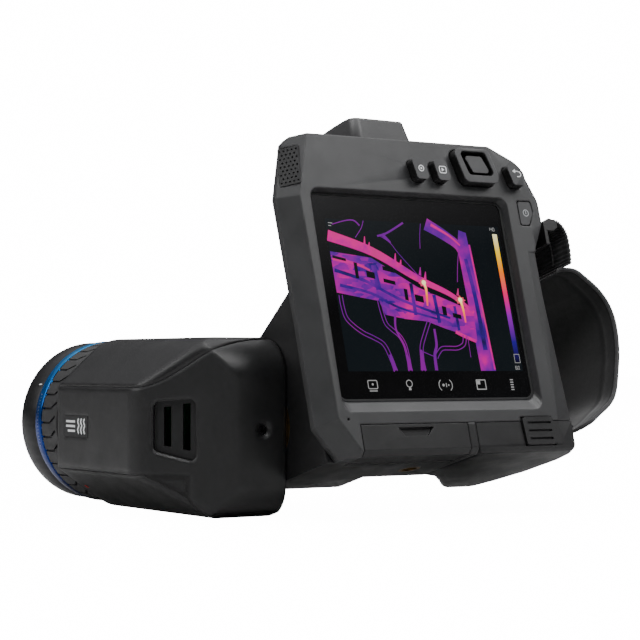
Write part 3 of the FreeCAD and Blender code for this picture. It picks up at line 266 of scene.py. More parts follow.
def clear_optic(name, colour):
    paint = Paint(name, Coat_Weight=1.0, Coat_Roughness=0.02)
    paint.colour(paint.ramp(paint.noise(900, 2), [(0.0, shade(colour, 0.7)), (1.0, colour)], 0.3, 0.7))
    paint.rough(paint.grey(paint.noise(300, 2), 0.05, 0.12))
    return paint.material


def woven(name, colour, threads, strength, sheen=0.25):
    """Plain weave: two crossing sets of threads, with painted shade in the hollows and painted light on the
    thread crowns.
    """
    paint = Paint(name, Specular_IOR_Level=0.2, Sheen_Weight=sheen, Sheen_Roughness=0.45)
    across = paint.wave(threads, paint.stretched((0.0, 1.0, 0.0)))
    up = paint.wave(threads, paint.stretched((0.35, 0.0, 1.0)))
    weave = paint.math("MULTIPLY", across, up)
    fuzz = paint.noise(700, 3)
    height = paint.math("ADD", weave, paint.math("MULTIPLY", fuzz, 0.5))
    # painted shade and light: colour follows the weave's height, darker in the hollows and lighter on the
    # crowns; the fuzz adds random tone
    stops = [(0.0, shade(colour, 0.6)), (0.5, colour), (1.0, shade(colour, 1.5))]
    paint.colour(paint.ramp(height, stops, 0.1, 1.2))
    paint.rough(paint.grey(fuzz, 0.78, 0.95))
    paint.bump(height, strength, 0.0002)
    return paint.material


def circuit_board():
    """Green solder mask with pale traces."""
    paint = Paint("circuit_board", Specular_IOR_Level=0.5)
    traces = paint.node("ShaderNodeTexBrick")
    traces.inputs["Scale"].default_value = 180
    traces.inputs["Color1"].default_value = (0.01, 0.08, 0.035, 1)
    traces.inputs["Color2"].default_value = (0.012, 0.1, 0.045, 1)
    traces.inputs["Mortar"].default_value = (0.05, 0.2, 0.09, 1)
    traces.inputs["Mortar Size"].default_value = 0.012
    paint.link(paint.place, traces.inputs["Vector"])
    paint.colour(traces.outputs["Color"])
    paint.rough(paint.grey(paint.noise(150, 2), 0.3, 0.45))
    return paint.material


def printed(name, colour, roughness=0.45):
    """Pad-printed ink, very slightly uneven."""
    paint = Paint(name)
    patches = paint.noise(1200, 3)
    paint.colour(paint.ramp(patches, [(0.0, shade(colour, 0.85)), (1.0, colour)], 0.25, 0.6))
    paint.rough(paint.grey(patches, roughness - 0.05, roughness + 0.08))
    return paint.material


def lit(name, stops, scale, strength, low=0.3, high=0.7):
    """A patch of the display's picture: glowing colours spread by noise."""
    paint = Paint(name, Specular_IOR_Level=0.5, Base_Color=(0.002, 0.002, 0.002, 1), Roughness=0.05)
    paint.glow(paint.ramp(paint.noise(scale, 4), stops, low, high), strength)
    return paint.material


def lit_cells(name, stops, scale, strength):
    """A patch of the picture built up of small blocks of unequal warmth, like parts of a machine."""
    paint = Paint(name, Specular_IOR_Level=0.5, Base_Color=(0.002, 0.002, 0.002, 1), Roughness=0.05)
    cells = paint.node("ShaderNodeTexVoronoi", distance="CHEBYCHEV")
    cells.inputs["Scale"].default_value = scale
    paint.link(paint.stretched((0.45, 1.0, 1.0)), cells.inputs["Vector"])
    tone = paint.node("ShaderNodeSeparateColor")
    paint.link(cells.outputs["Color"], tone.inputs["Color"])
    drift = paint.math("MULTIPLY", paint.noise(90, 4), 1.6)
    warmth = paint.math("ADD", paint.math("MULTIPLY", tone.outputs["Red"], 0.55), drift)
    paint.glow(paint.ramp(warmth, stops, 0.45, 1.6), strength)
    return paint.material


def lit_along(name, stops, direction, low, high, strength):
    """A patch of the picture whose colour runs along a direction, between two heights in metres."""
    paint = Paint(name, Specular_IOR_Level=0.5, Base_Color=(0.002, 0.002, 0.002, 1), Roughness=0.05)
    paint.glow(paint.ramp(paint.along(direction), stops, low, high), strength)
    return paint.material


GREY = (0.023, 0.0234, 0.0244)
BLACK = (0.006, 0.006, 0.0065)
SHELL = moulded("shell_grey", GREY, 0.45, 0.3, 0.0008)
HOUSING = moulded("housing_black", BLACK, 0.42, 0.3, 0.001)
BLOCK_SKIN = moulded("block_black", (0.0075, 0.0075, 0.008), 0.37, 0.3, 0.0024)
CAP = moulded("cap_black", (0.02, 0.02, 0.021), 0.42, 0.3, 0.0012)
DARK = moulded("dark_plastic", (0.0035, 0.0035, 0.004), 0.45, 0.2)
FLAP = moulded("flap_black", (0.0045, 0.0045, 0.005), 0.46, 0.35)
KEYS = key_cap("key_cap", (0.030, 0.0305, 0.032), (0.004, 0.004, 0.004), KEY_TOP + 0.5)
FLUSH_KEY = key_cap("flush_key", (0.028, 0.0285, 0.030), (0.004, 0.004, 0.004), FACE + 0.5)
CENTRE_KEY = key_cap("centre_key", (0.030, 0.0305, 0.032), (0.004, 0.004, 0.004), KEY_TOP + 1.5)
RUBBER = rubber("soft_rubber", (0.007, 0.007, 0.0075))
RING_RUBBER = rubber("ring_rubber", (0.007, 0.007, 0.0075), 0.55, 0.35)
ANODISED = turned_metal("black_anodised", (0.012, 0.012, 0.013), 0.36, 0.6)
BLUE = accent_metal()
GLASS_PAINT = cover_glass()
PANEL = moulded("display_panel", (0.02, 0.02, 0.03), 0.3, 0.05)
BOARD = circuit_board()
STEEL = plain_metal("bright_steel", (0.5, 0.5, 0.51), 0.3)
BLACKED = plain_metal("blacked_steel", (0.03, 0.03, 0.031), 0.35)
BRASS = plain_metal("dulled_brass", (0.20, 0.13, 0.055), 0.42)
GOLD = plain_metal("gold_plate", (0.8, 0.55, 0.18), 0.25)
FRONT_LENS = coated_lens("front_lens_coating", (0.10, 0.055, 0.035), (0.30, 0.10, 0.22))
REAR_LENS = coated_lens("rear_lens_coating", (0.12, 0.10, 0.08), (0.2, 0.2, 0.35))
SMALL_OPTIC = clear_optic("small_optic", (0.02, 0.03, 0.06))
LAMP = clear_optic("lamp_window", (0.5, 0.5, 0.45))
NEOPRENE = woven("neoprene_jersey", (0.010, 0.010, 0.0105), 1500, 0.2, 0.35)
WEBBING = woven("webbing_weave", (0.010, 0.010, 0.011), 700, 0.6)
PIPING = woven("piping_tape", (0.06, 0.06, 0.062), 1400, 0.3, 0.3)
THREAD = woven("stitch_thread", (0.11, 0.11, 0.112), 3000, 0.3)
WHITE = printed("white_ink", (0.72, 0.73, 0.74))
FAINT = printed("faint_ink", (0.30, 0.31, 0.32))
RED = printed("red_ink", (0.45, 0.02, 0.01))


def paint_nodes():
    """Every CAD node gets its finished material."""
    finishes = {
        SHELL: ["rear_shell"],
        HOUSING: ["front_shell", "barrel_shroud"],
        BLOCK_SKIN: ["optic_top_shell", "optic_bottom_shell", "optic_side_shell"],
        CAP: ["antenna_cover"],
        FLAP: ["connector_flap", "battery_pack", "battery_latch_rear", "battery_latch_front"],
        DARK: ["speaker_grille", "microphone", "nav_gimbal", "port_strip", "trigger_button",
               "focus_button", "laser_button", "strap_bracket", "strap_anchor", "strap_slot_plate",
               "side_badge"],
        KEYS: ["p_button", "gallery_button", "back_button", "nav_pad"],
        FLUSH_KEY: ["power_button"],
        CENTRE_KEY: ["nav_center"],
        RUBBER: ["grip_cover"],
        RING_RUBBER: ["focus_ring"],
        ANODISED: ["lens_barrel", "front_rim", "lens_cell", "detector_module"],
        BLUE: ["accent_ring"],
        GLASS_PAINT: ["display_glass"],
        PANEL: ["lcd_panel"],
        BOARD: ["main_board", "key_board", "optics_board"],
        STEEL: ["speaker", "flap_pin", "shell_screws", "tilt_shaft", "shaft_ring"],
        BLACKED: ["optic_screw"],
        BRASS: ["hub_bush", "tripod_insert"],
        GOLD: ["port_tongue", "battery_contacts"],
        FRONT_LENS: ["front_lens"],
        REAR_LENS: ["rear_lens"],
        SMALL_OPTIC: ["visual_camera", "laser_pointer"],
        LAMP: ["lamps"],
        RED: ["index_mark"],
        NEOPRENE: ["hand_strap_pad"],
        WEBBING: ["strap_webbing_upper", "strap_webbing_lower"],
    }
    for material, names in finishes.items():
        for name in names:
            slots = NODES[name].data.materials
            slots.clear()
            slots.append(material)


def soften_edges():
    """Small rounded edges on the moulded parts, so that they catch the light."""
    widths = {0.35: ["rear_shell", "antenna_cover", "connector_flap", "battery_pack"],
              0.3: ["p_button", "gallery_button", "back_button", "nav_pad", "nav_center",
                    "battery_latch_rear", "battery_latch_front", "trigger_button", "strap_bracket"],
              0.5: ["front_rim", "accent_ring", "front_shell"]}
    for width, names in widths.items():
        for name in names:
            node = NODES[name]
            weld = node.modifiers.new("weld", "WELD")
            weld.merge_threshold = 0.002 * MM
            bevel = node.modifiers.new("edge", "BEVEL")
            bevel.width = width * MM
            bevel.segments = 2
            bevel.limit_method = "ANGLE"
            bevel.angle_limit = math.radians(30)
            bevel.harden_normals = True


# --------------------------------------------------------------------------
# mesh helpers
# --------------------------------------------------------------------------
def piece(name, points, faces, material, body, place=DISPLAY, smooth=False):
    """A mesh piece from points in millimetres, placed in the row frame."""
    mesh = bpy.data.meshes.new(name)
    mesh.from_pydata([(place @ Vector(p)) * MM for p in points], [], faces)
    mesh.validate()
    mesh.materials.append(material)
    for polygon in mesh.polygons:
        polygon.use_smooth = smooth
    made = bpy.data.objects.new(name, mesh)
    bpy.context.collection.objects.link(made)
    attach(made, body)
    return made


# faces of a box whose first four corners are one side and whose last four are the opposite side
BOX_FACES = [[0, 1, 2, 3], [7, 6, 5, 4], [0, 4, 5, 1], [1, 5, 6, 2], [2, 6, 7, 3], [3, 7, 4, 0]]


def merged(shapes):
    """Joins (points, faces) shapes into one."""
    points = []
    faces = []
    for more_points, more_faces in shapes:
        start = len(points)
        points.extend(more_points)
        faces.extend([[start + i for i in face] for face in more_faces])
    return points, faces


def rounded_box(left, right, low, high, radius, steps=6):
    """Outline of a box with round corners, anticlockwise from the lower left."""
    corners = [(left + radius, low + radius, 180), (right - radius, low + radius, 270),
               (right - radius, high - radius, 0), (left + radius, high - radius, 90)]
    outline = []
    for x, z, start in corners:
        for i in range(steps + 1):
            angle = math.radians(start + 90 * i / steps)
            outline.append((x + radius * math.cos(angle), z + radius * math.sin(angle)))
    return outline


def slab(outline, back, front):
    """A closed plate between two depths from an outline in XZ."""
    count = len(outline)
    points = [(x, back, z) for x, z in outline] + [(x, front, z) for x, z in outline]
    faces = [list(range(count)), list(range(2 * count - 1, count - 1, -1))]
    for i in range(count):
        j = (i + 1) % count
        faces.append([j, i, count + i, count + j])
    return points, faces


def band(outer, inner, back, front):
    """A closed frame between two outlines with equal numbers of points."""
    count = len(outer)
    rings = [[(x, y, z) for x, z in line] for line, y in
             ((outer, back), (inner, back), (inner, front), (outer, front))]
    points = [p for ring in rings for p in ring]
    faces = []
    for k in range(4):
        a = k * count
        b = ((k + 1) % 4) * count
        for i in range(count):
            j = (i + 1) % count
            faces.append([a + i, a + j, b + j, b + i])
    return points, faces


def smooth_path(points, steps=6):
    """Catmull-Rom curve through points of any dimension."""
    ends = [Vector(points[0])] + [Vector(p) for p in points] + [Vector(points[-1])]
    path = []
    for i in range(1, len(ends) - 2):
        a, b, c, d = ends[i - 1:i + 3]
        for step in range(steps):
            t = step / steps
            path.append(0.5 * ((2 * b) + (c - a) * t + (2 * a - 5 * b + 4 * c - d) * t * t
                               + (3 * b - a - 3 * c + d) * t ** 3))
    path.append(ends[-2])
    return path


def ribbon_outline(points, width, end_width=None, steps=6):
    """Outline of a smooth flat ribbon through (x, z) points."""
    path = smooth_path([(x, z, 0) for x, z in points], steps)
    last = width if end_width is None else end_width
    left = []
    right = []
    for i, spot in enumerate(path):
        ahead = path[min(i + 1, len(path) - 1)] - path[max(i - 1, 0)]
        side = Vector((-ahead.y, ahead.x, 0)).normalized()
        half = 0.5 * (width + (last - width) * i / (len(path) - 1))
        left.append((spot.x + side.x * half, spot.y + side.y * half))
        right.append((spot.x - side.x * half, spot.y - side.y * half))
    return left, right


def ribbon(points, width, back, front, end_width=None, steps=6):
    """A thin closed ribbon, as a strip of short slabs that share their ends."""
    left, right = ribbon_outline(points, width, end_width, steps)
    count = len(left)
    places = [(x, y, z) for y in (back, front) for line in (left, right) for x, z in line]
    faces = []
    for i in range(count - 1):
        faces.append([i, i + 1, count + i + 1, count + i])
        faces.append([2 * count + i, 3 * count + i, 3 * count + i + 1, 2 * count + i + 1])
        faces.append([i + 1, i, 2 * count + i, 2 * count + i + 1])
        faces.append([count + i, count + i + 1, 3 * count + i + 1, 3 * count + i])
    for i in (0, count - 1):
        faces.append([i, count + i, 3 * count + i, 2 * count + i])
    return places, faces


def disc_outline(x, z, radius, steps=20):
    return [(x + radius * math.cos(2 * math.pi * i / steps), z + radius * math.sin(2 * math.pi * i / steps))
            for i in range(steps)]


def ring_shape(x, z, radius, line, back, front):
    return band(disc_outline(x, z, radius), disc_outline(x, z, radius - line), back, front)


def box_line(left, right, low, high, radius, line, back, front):
    """The outline of a rounded box, drawn with a line of some thickness."""
    inner = rounded_box(left + line, right - line, low + line, high - line, max(radius - line, 0.05))
    return band(rounded_box(left, right, low, high, radius), inner, back, front)


# --------------------------------------------------------------------------
# the display's picture
# --------------------------------------------------------------------------
SCREEN = (-44.3, 39.9, -30.6, 30.3)
LAYER = 0.008
UP = Vector((0, math.sin(TILT), math.cos(TILT)))


def layer(index):
    """Depths of one thin picture layer in front of the glass; higher ones lie nearer the viewer."""
    back = GLASS - 0.01 - index * 2 * LAYER
    return back, back - LAYER


def picture(name, shapes, material, index):
    back, front = layer(index)
    solids = [shape(back, front) for shape in shapes]
    return piece(name, *merged(solids), material, "display_unit")


def flat(outline):
    return lambda back, front: slab(outline, back, front)


def line(points, width, end_width=None):
    return lambda back, front: ribbon(points, width, back, front, end_width)


def double_line(points, gap, width):
    """Two parallel thin lines: a warm cable's edges."""
    left, right = ribbon_outline(points, gap)
    return [line(left[::3] + [left[-1]], width), line(right[::3] + [right[-1]], width)]


VIOLET = (0.15, 0.004, 0.34)
MAGENTA = (0.85, 0.0, 0.30)
ORCHID = (0.36, 0.002, 0.36)
INDIGO = (0.035, 0.004, 0.24)


def rectangle(left, right, low, high):
    return [(left, low), (right, low), (right, high), (left, high)]


def falling_box(x, z, width, height):
    """Outline of an upright box whose top and bottom fall to the right, as the beam does."""
    fall = 0.2 * width
    return [(x - width / 2, z - height / 2 + fall / 2), (x + width / 2, z - height / 2 - fall / 2),
            (x + width / 2, z + height / 2 - fall / 2), (x - width / 2, z + height / 2 + fall / 2)]


def make_picture():
    """A generic thermal view: a cross-beam of a pole, cables, and two hot joints."""
    low = SCREEN[2]
    night = lit("night_sky", [(0.0, (0.0025, 0.0045, 0.0065)), (1.0, (0.005, 0.009, 0.012))], 14, 1.0)
    warm = lit("warm_metal", [(0.0, INDIGO), (0.35, VIOLET), (0.65, ORCHID), (1.0, MAGENTA)], 75, 1.0)
    parts = [(0.0, (0.004, 0.006, 0.02)), (0.16, INDIGO), (0.30, VIOLET), (0.55, ORCHID), (1.0, MAGENTA)]
    machine = lit_cells("machine_parts", parts, 420, 1.0)
    hotter = lit("hot_edge", [(0.0, ORCHID), (0.5, MAGENTA), (1.0, (0.62, 0.04, 0.22))], 110, 1.0)
    cool = lit("cool_metal", [(0.0, (0.01, 0.008, 0.05)), (0.5, INDIGO), (1.0, VIOLET)], 120, 1.0)
    cable = lit("cable_heat", [(0.0, VIOLET), (1.0, ORCHID)], 60, 0.9)
    picture("screen_night", [flat(rectangle(*SCREEN))], night, 0)
    pole = [(19.5, 28), (23, 27), (26.3, low + 0.1), (18.8, low + 0.1), (17.5, 20.5)]
    beam = [(-44.2, 17), (-25.5, 15), (-5.5, 3.5), (20, -6), (19.5, -18.5), (11, -15), (5, -13.4),
            (-3.5, -10.5), (-14, -9.6), (-23, -8), (-25, -2.5), (-33, -1.3), (-44, 0.5)]
    brace = line([(3.5, 30), (12, 25.5), (18.5, 20.5), (20, 12)], 5.5, 3.0)
    picture("screen_pole", [flat(pole), brace], warm, 1)
    picture("screen_beam", [flat(beam)], machine, 2)
    streaks = [line([(-43.5, 9.5), (-30, 5.5), (-14, -2), (8, -9)], 1.5, 1.0),
               line([(-42, 3.5), (-28, 0.5), (-16, -5), (2, -9.5)], 1.3, 0.8),
               line([(20.6, 16), (22.2, 0), (22.8, -22)], 1.7, 2.2),
               line([(-25, 12), (-24.2, 2)], 2.4), line([(-8.5, 5), (-8.6, -8)], 1.6),
               line([(1.8, 0.5), (2.4, -11)], 1.6), line([(11, -4), (11.4, -14)], 1.3)]
    picture("screen_cool_streaks", streaks, cool, 3)
    edges = [line([(-44.2, 23.5), (-24.5, 17.5), (-5, 7.2), (10, 0.8), (20.3, -6.5)], 4.6, 1.3),
             line([(-43.6, 14.2), (-33, 12.2), (-27, 9.8)], 1.6, 0.8),
             line([(6, 29.8), (14, 25.6), (19, 21.5)], 1.3, 0.7),
             line([(23.7, 22), (24.6, 0), (25.8, -30)], 0.8),
             line([(9.5, -14.6), (14, -16.6), (19, -18.4)], 1.4)]
    picture("screen_hot_edges", edges, hotter, 4)
    pins = []
    for x, z, height in ((-27, 19.5, 4.2), (-25.2, 18.4, 3), (-13.6, 13.6, 3.6), (-11.4, 12.2, 2.4),
                         (-2.6, 8.4, 3.4), (-0.4, 7, 3), (14.3, 0.4, 3)):
        pins.append(line([(x - 0.8, z), (x, z + height)], 1.3, 0.25))
    picture("screen_pins", pins, hotter, 5)
    windows = []
    for x, z, width, height in ((-33.4, 9.6, 1.5, 6.4), (-27, 8, 3.8, 2.6), (-18.6, 5.4, 5.4, 1.5),
                                (-11.6, 0.3, 1.6, 4.6), (-5.6, -1.2, 4, 2.7), (2.7, 1.2, 5.4, 1.4),
                                (5.7, -6, 2, 3.6), (11.5, -8.1, 4, 1.8), (-40.5, 14.3, 6, 1.1),
                                (-18.2, 10.4, 5.4, 1.7)):
        windows.append(flat(falling_box(x, z, width, height)))
    picture("screen_gaps", windows, night, 6)
    make_cables(cable)
    make_hot_spots()


def make_cables(material):
    hanging = []
    for points in ([(-42.5, -0.5), (-41.5, -9.5), (-34.5, -15.5), (-26, -20), (-22.5, -30.3)],
                   [(-25, -2.5), (-23.5, -11.5), (-18.5, -16), (-16, -21), (-15.5, -30.3)],
                   [(-2.5, -10), (-6.5, -17), (-8.6, -22), (-9.2, -30.3)],
                   [(13.5, -16), (12.5, -19.5), (8.5, -21.3), (1.5, -21.5), (-2, -25)]):
        hanging.extend(double_line(points, 1.5, 0.38))
    hanging.extend([
        line([(-18.5, -8), (-19.2, -14), (-16.5, -20), (-15.8, -24)], 1.0, 0.6),
        line([(-0.8, -13.5), (-1, -20), (-2.6, -24), (-3, -30.3)], 1.0, 1.5),
        line([(-24, -24), (-22.5, -30.3)], 0.8, 2.2), line([(-15.9, -24), (-15.5, -30.3)], 0.9, 2.3),
        line([(-8.9, -22), (-9.2, -30.3)], 1.0, 2.8), line([(-8.6, -22.6), (-3.4, -24.6)], 0.35),
        line([(-41.5, 28), (-35, 29.8), (-31, 30), (-28.6, 28)], 0.35, 0.7),
        line([(-26.5, 30.1), (-28, 27), (-31.5, 23)], 0.35),
        line([(-21, 24), (-16, 25.5), (-7.5, 30)], 0.8),
        line([(-20.5, 24.5), (-15.5, 21.5), (-12, 17), (-4.5, 8.5)], 0.3),
        line([(-18.5, 24.8), (-15, 21.5)], 1.8, 0.5),
        line([(1, 30), (-0.3, 25), (-1.2, 19.5)], 0.3), line([(18, 20), (16, 13), (14.5, 6)], 0.35),
        line([(15, -16), (14.8, -25)], 0.3)])
    picture("screen_cables", hanging, material, 7)


def make_hot_spots():
    """Two overheated joints with glowing streaks below them."""
    heat = [(0.0, (0.8, 0.01, 0.1)), (0.4, (1.0, 0.2, 0.0)),
            (0.75, (1.0, 0.55, 0.02)), (1.0, (1.0, 0.9, 0.4))]
    spots = (((-2.2, 5.2), (-1.6, 2.5), (-2.2, -4.2)), ((14.4, -1.6), (15, -5), (15.2, -10.8)))
    for name, (top, middle, bottom) in zip(("left", "right"), spots):
        x, z = top
        ends = [(DISPLAY @ Vector((p[0], 0, p[1]))).dot(UP) * MM for p in (bottom, top)]
        glow = lit_along("heat_" + name, heat, UP, ends[0], ends[1], 1.6)
        halo = lit("halo_" + name, [(0.0, MAGENTA), (1.0, (0.85, 0.12, 0.05))], 160, 1.1)
        star = []
        for i in range(16):
            angle = 2 * math.pi * i / 16
            reach = (2.1, 1.5, 1.9, 1.3)[i % 4]
            star.append((x + reach * 1.25 * math.cos(angle), z + reach * math.sin(angle)))
        tail = line([(x + 0.2, z), middle, bottom], 1.9, 0.9)
        picture("screen_halo_" + name, [flat(star), tail], halo, 8)
        picture("screen_heat_" + name, [flat(disc_outline(x, z + 0.2, 1.0)),
                                        line([(x, z), middle, bottom], 1.15, 0.45)], glow, 9)


def make_palette():
    """Temperature scale at the right, with a thin frame round its lower end and figures at both ends."""
    low = (DISPLAY @ Vector((38, 0, -27))).dot(UP) * MM
    high = (DISPLAY @ Vector((38, 0, 27))).dot(UP) * MM
    stops = [(0.0, (0.002, 0.002, 0.012)), (0.16, (0.02, 0.003, 0.2)), (0.36, (0.25, 0.0, 0.4)),
             (0.54, (0.9, 0.0, 0.12)), (0.7, (1.0, 0.2, 0.0)), (0.86, (1.0, 0.65, 0.0)),
             (1.0, (1.0, 0.95, 0.5))]
    scale = lit_along("palette_scale", stops, UP, low, high, 1.25)
    picture("screen_palette", [flat([(36.9, -27), (39.2, -27), (38.8, 27), (36.5, 27)])], scale, 1)
    ink = lit("screen_ink", [(0.0, (0.5, 0.5, 0.5)), (1.0, (0.62, 0.62, 0.62))], 500, 0.8)
    frame_line = [lambda back, front: box_line(36.6, 39.4, -27.3, -23.6, 0.2, 0.18, back, front)]
    picture("screen_palette_frame", frame_line, ink, 2)
    for name, centre, height, digits in (("high", 36.4, 29.0, "140"), ("low", 37.4, -29.3, "60")):
        picture("screen_scale_" + name, number_strokes(digits, centre, height, 1.35), ink, 2)


SEGMENTS = {"top": ((0, 1), (1, 1)), "middle": ((0, 0.5), (1, 0.5)), "bottom": ((0, 0), (1, 0)),
            "upper_left": ((0, 0.5), (0, 1)), "upper_right": ((1, 0.5), (1, 1)),
            "lower_left": ((0, 0), (0, 0.5)), "lower_right": ((1, 0), (1, 0.5))}
DIGITS = {"0": ["top", "bottom", "upper_left", "upper_right", "lower_left", "lower_right"],
          "1": ["upper_right", "lower_right"],
          "4": ["upper_left", "middle", "upper_right", "lower_right"],
          "6": ["top", "middle", "bottom", "upper_left", "lower_left", "lower_right"]}


def number_strokes(text, centre, middle, height):
    """Plain seven-segment figures for the scale's ends."""
    width = 0.55 * height
    step = width + 0.42
    strokes = []
    for i, digit in enumerate(text):
        x = centre + (i - (len(text) - 1) / 2) * step - width / 2
        for segment in DIGITS[digit]:
            (x0, z0), (x1, z1) = SEGMENTS[segment]
            strokes.append(line([(x + x0 * width, middle + (z0 - 0.5) * height),
                                 (x + x1 * width, middle + (z1 - 0.5) * height)], 0.16))
    return strokes


TOOLBAR_Z = -36.2


def make_toolbar():
    """Five plain menu symbols below the picture."""
    ink = lit("toolbar_ink", [(0.0, (0.42, 0.42, 0.42)), (1.0, (0.55, 0.55, 0.55))], 400, 0.8)
    z = TOOLBAR_Z
    shapes = [
        lambda b, f: box_line(-36.4, -31.8, z - 1.4, z + 2.2, 0.7, 0.36, b, f),
        flat(disc_outline(-34.1, z + 0.5, 0.45)),
        flat(rectangle(-35.9, -32.3, z - 2.3, z - 1.9)),
        lambda b, f: ring_shape(-17.0, z + 0.7, 1.55, 0.34, b, f),
        flat([(-17.6, z - 1.9), (-16.4, z - 1.9), (-16.5, z - 0.9), (-17.5, z - 0.9)]),
        line([(-1.9, z + 2.1), (-2.8, z + 0.9), (-2.8, z - 0.9), (-1.9, z - 2.1)], 0.34),
        line([(2.4, z + 2.1), (3.3, z + 0.9), (3.3, z - 0.9), (2.4, z - 2.1)], 0.34),
        flat(disc_outline(-0.8, z, 0.55)),
        flat(rectangle(0.4, 0.8, z - 0.8, z + 0.8)),
        flat(disc_outline(1.7, z, 0.35)),
        lambda b, f: box_line(15.3, 20.1, z - 2.0, z + 2.2, 0.3, 0.42, b, f),
        flat(rectangle(15.8, 17.3, z + 0.2, z + 1.7)),
    ]
    for i in range(5):
        row = z + 2.0 - i
        shapes.append(flat(rectangle(32.4, 33.9, row - 0.22, row + 0.22)))
    picture("screen_toolbar", shapes, ink, 1)
    corner = [line([(-43.2, 28.6 - i * 1.1), (-41.2 - 0.7 * i, 28.5 - i * 1.1)], 0.3) for i in range(2)]
    picture("screen_status_marks", corner, ink, 10)


# --------------------------------------------------------------------------
# display unit details
# --------------------------------------------------------------------------
def make_gasket():
    """Thin black rubber seal round the cover glass."""
    outer = rounded_box(-51.05, 43.25, -42.35, 40.85, 4.0)
    inner = rounded_box(-50.0, 42.1, -41.5, 39.8, 3.0)
    made = piece("glass_gasket", *band(outer, inner, 0.04, -0.3), RUBBER, "display_unit")


INK = 0.03


def make_key_marks():
    """White symbols on the keys, a hair in front of their tops."""
    top = KEY_TOP - 0.01
    front = top - INK
    ring = [ring_shape(0.7, 50.9, 1.35, 0.34, top, front), slab(disc_outline(0.7, 50.9, 0.42), top, front)]
    made = [piece("mark_program", *merged(ring), WHITE, "p_button")]
    gallery = [box_line(9.5, 13.1, 49.3, 52.4, 0.8, 0.34, top, front),
               slab([(10.7, 50.1), (12.1, 50.85), (10.7, 51.6)], top, front)]
    made.append(piece("mark_gallery", *merged(gallery), WHITE, "gallery_button"))
    arc = [(48.0, 52.3), (50.3, 52.2), (51.2, 51.1), (50.5, 50.1), (49.1, 50.0)]
    back = [ribbon(arc, 0.36, top, front),
            slab([(47.0, 52.3), (48.4, 51.4), (48.4, 53.2)], top, front)]
    made.append(piece("mark_back", *merged(back), WHITE, "back_button"))
    flush = FACE - 0.01
    power = [ring_shape(53.6, 35.8, 1.5, 0.32, flush, flush - INK),
             slab(rectangle(53.45, 53.75, 35.3, 36.7), flush, flush - INK)]
    made.append(piece("mark_power", *merged(power), FAINT, "power_button"))


# --------------------------------------------------------------------------
# hand strap
# --------------------------------------------------------------------------
def strap_grid(name, path, half_width, thickness, material, columns=24, crown=0.0, ribs=None):
    """A closed band that follows a path of (x, z, middle y) points.

    thickness(s, t) and half_width(s) give its form, with s along the path and t across it, both 0..1.
    """
    rows = len(path)
    top = []
    under = []
    for i, spot in enumerate(path):
        s = i / (rows - 1)
        ahead = path[min(i + 1, rows - 1)] - path[max(i - 1, 0)]
        outwards = Vector((-ahead.y, ahead.x)).normalized()
        for j in range(columns + 1):
            t = j / columns
            y = spot.z + (2 * t - 1) * half_width(s)
            dome = crown * (1 - (2 * t - 1) ** 2) * math.sin(math.pi * s) ** 0.5
            half = 0.5 * thickness(s, t)
            lift = ribs(s) if ribs else 0.0
            for line_points, offset in ((top, dome + half + lift), (under, dome - half - lift)):
                line_points.append((spot.x + outwards.x * offset, y, spot.y + outwards.y * offset))
    points = top + under
    width = columns + 1
    start = len(top)
    faces = []
    for i in range(rows - 1):
        for j in range(columns):
            a = i * width + j
            faces.append([a, a + 1, a + width + 1, a + width])
            faces.append([start + a, start + a + width, start + a + width + 1, start + a + 1])
    for i in range(rows - 1):
        for j, turn in ((0, 1), (columns, -1)):
            a = i * width + j
            side = [a, a + width, start + a + width, start + a]
            faces.append(side[::turn])
    for j in range(columns):
        for i, turn in ((0, -1), (rows - 1, 1)):
            a = i * width + j
            side = [a, a + 1, start + a + 1, start + a]
            faces.append(side[::-turn])
    return piece(name, points, faces, material, "display_unit", smooth=True)


PAD_MIDDLE = 29.0
PAD_HALF = 27.0


def pad_line():
    """Middle line of the pad in the XZ plane, with the middle of its width as third number."""
    points = [(76.8, 15.8), (83.6, 10.2), (89.6, 4.8), (93.4, -1.0), (95.2, -8.5),
              (94.6, -18.5), (92.3, -27.8), (86.8, -41.3), (77.0, -48.6), (70.0, -53.2)]
    return smooth_path([(x, z, PAD_MIDDLE) for x, z in points], 6)


def make_pad():
    """Crowned foam pad, thin at its bound edges, with a sewn channel inside the edge."""
    def thick(s, t):
        across = 1 - abs(2 * t - 1) ** 3.0
        along = min(1.0, 6 * s, 5 * (1 - s))
        channel = 1.0
        for seam in (0.12, 0.88):
            channel -= 0.35 * math.exp(-((t - seam) / 0.018) ** 2)
        return 1.7 + 4.2 * across * along ** 0.7 * channel

    def half(s):
        end = max(0.0, 1 - 14 * s, 1 - 14 * (1 - s))
        return PAD_HALF - 1.2 * (2 * s - 1) ** 8 - 7.0 * end ** 2

    pad = strap_grid("pad_body", pad_line(), half, thick, NEOPRENE, 40, crown=1.2)
    smooth = pad.modifiers.new("smooth", "SUBSURF")
    smooth.levels = 1
    smooth.render_levels = 1
    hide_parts("hand_strap_pad")
    make_piping(half)


def tube(name, path, radius, material, body="display_unit", sides=8):
    """A closed round cord along 3-D points in millimetres."""
    points = []
    faces = []
    count = len(path)
    side = Vector((0, 1, 0))
    for i, spot in enumerate(path):
        ahead = (path[min(i + 1, count - 1)] - path[max(i - 1, 0)]).normalized()
        side = (side - ahead * side.dot(ahead)).normalized()
        other = ahead.cross(side)
        for k in range(sides):
            angle = 2 * math.pi * k / sides
            points.append(spot + side * (radius * math.cos(angle)) + other * (radius * math.sin(angle)))
    for i in range(count - 1):
        for k in range(sides):
            a = i * sides + k
            b = i * sides + (k + 1) % sides
            faces.append([a, b, b + sides, a + sides])
    faces.append(list(range(sides))[::-1])
    faces.append([len(points) - sides + k for k in range(sides)])
    return piece(name, points, faces, material, body, smooth=True)


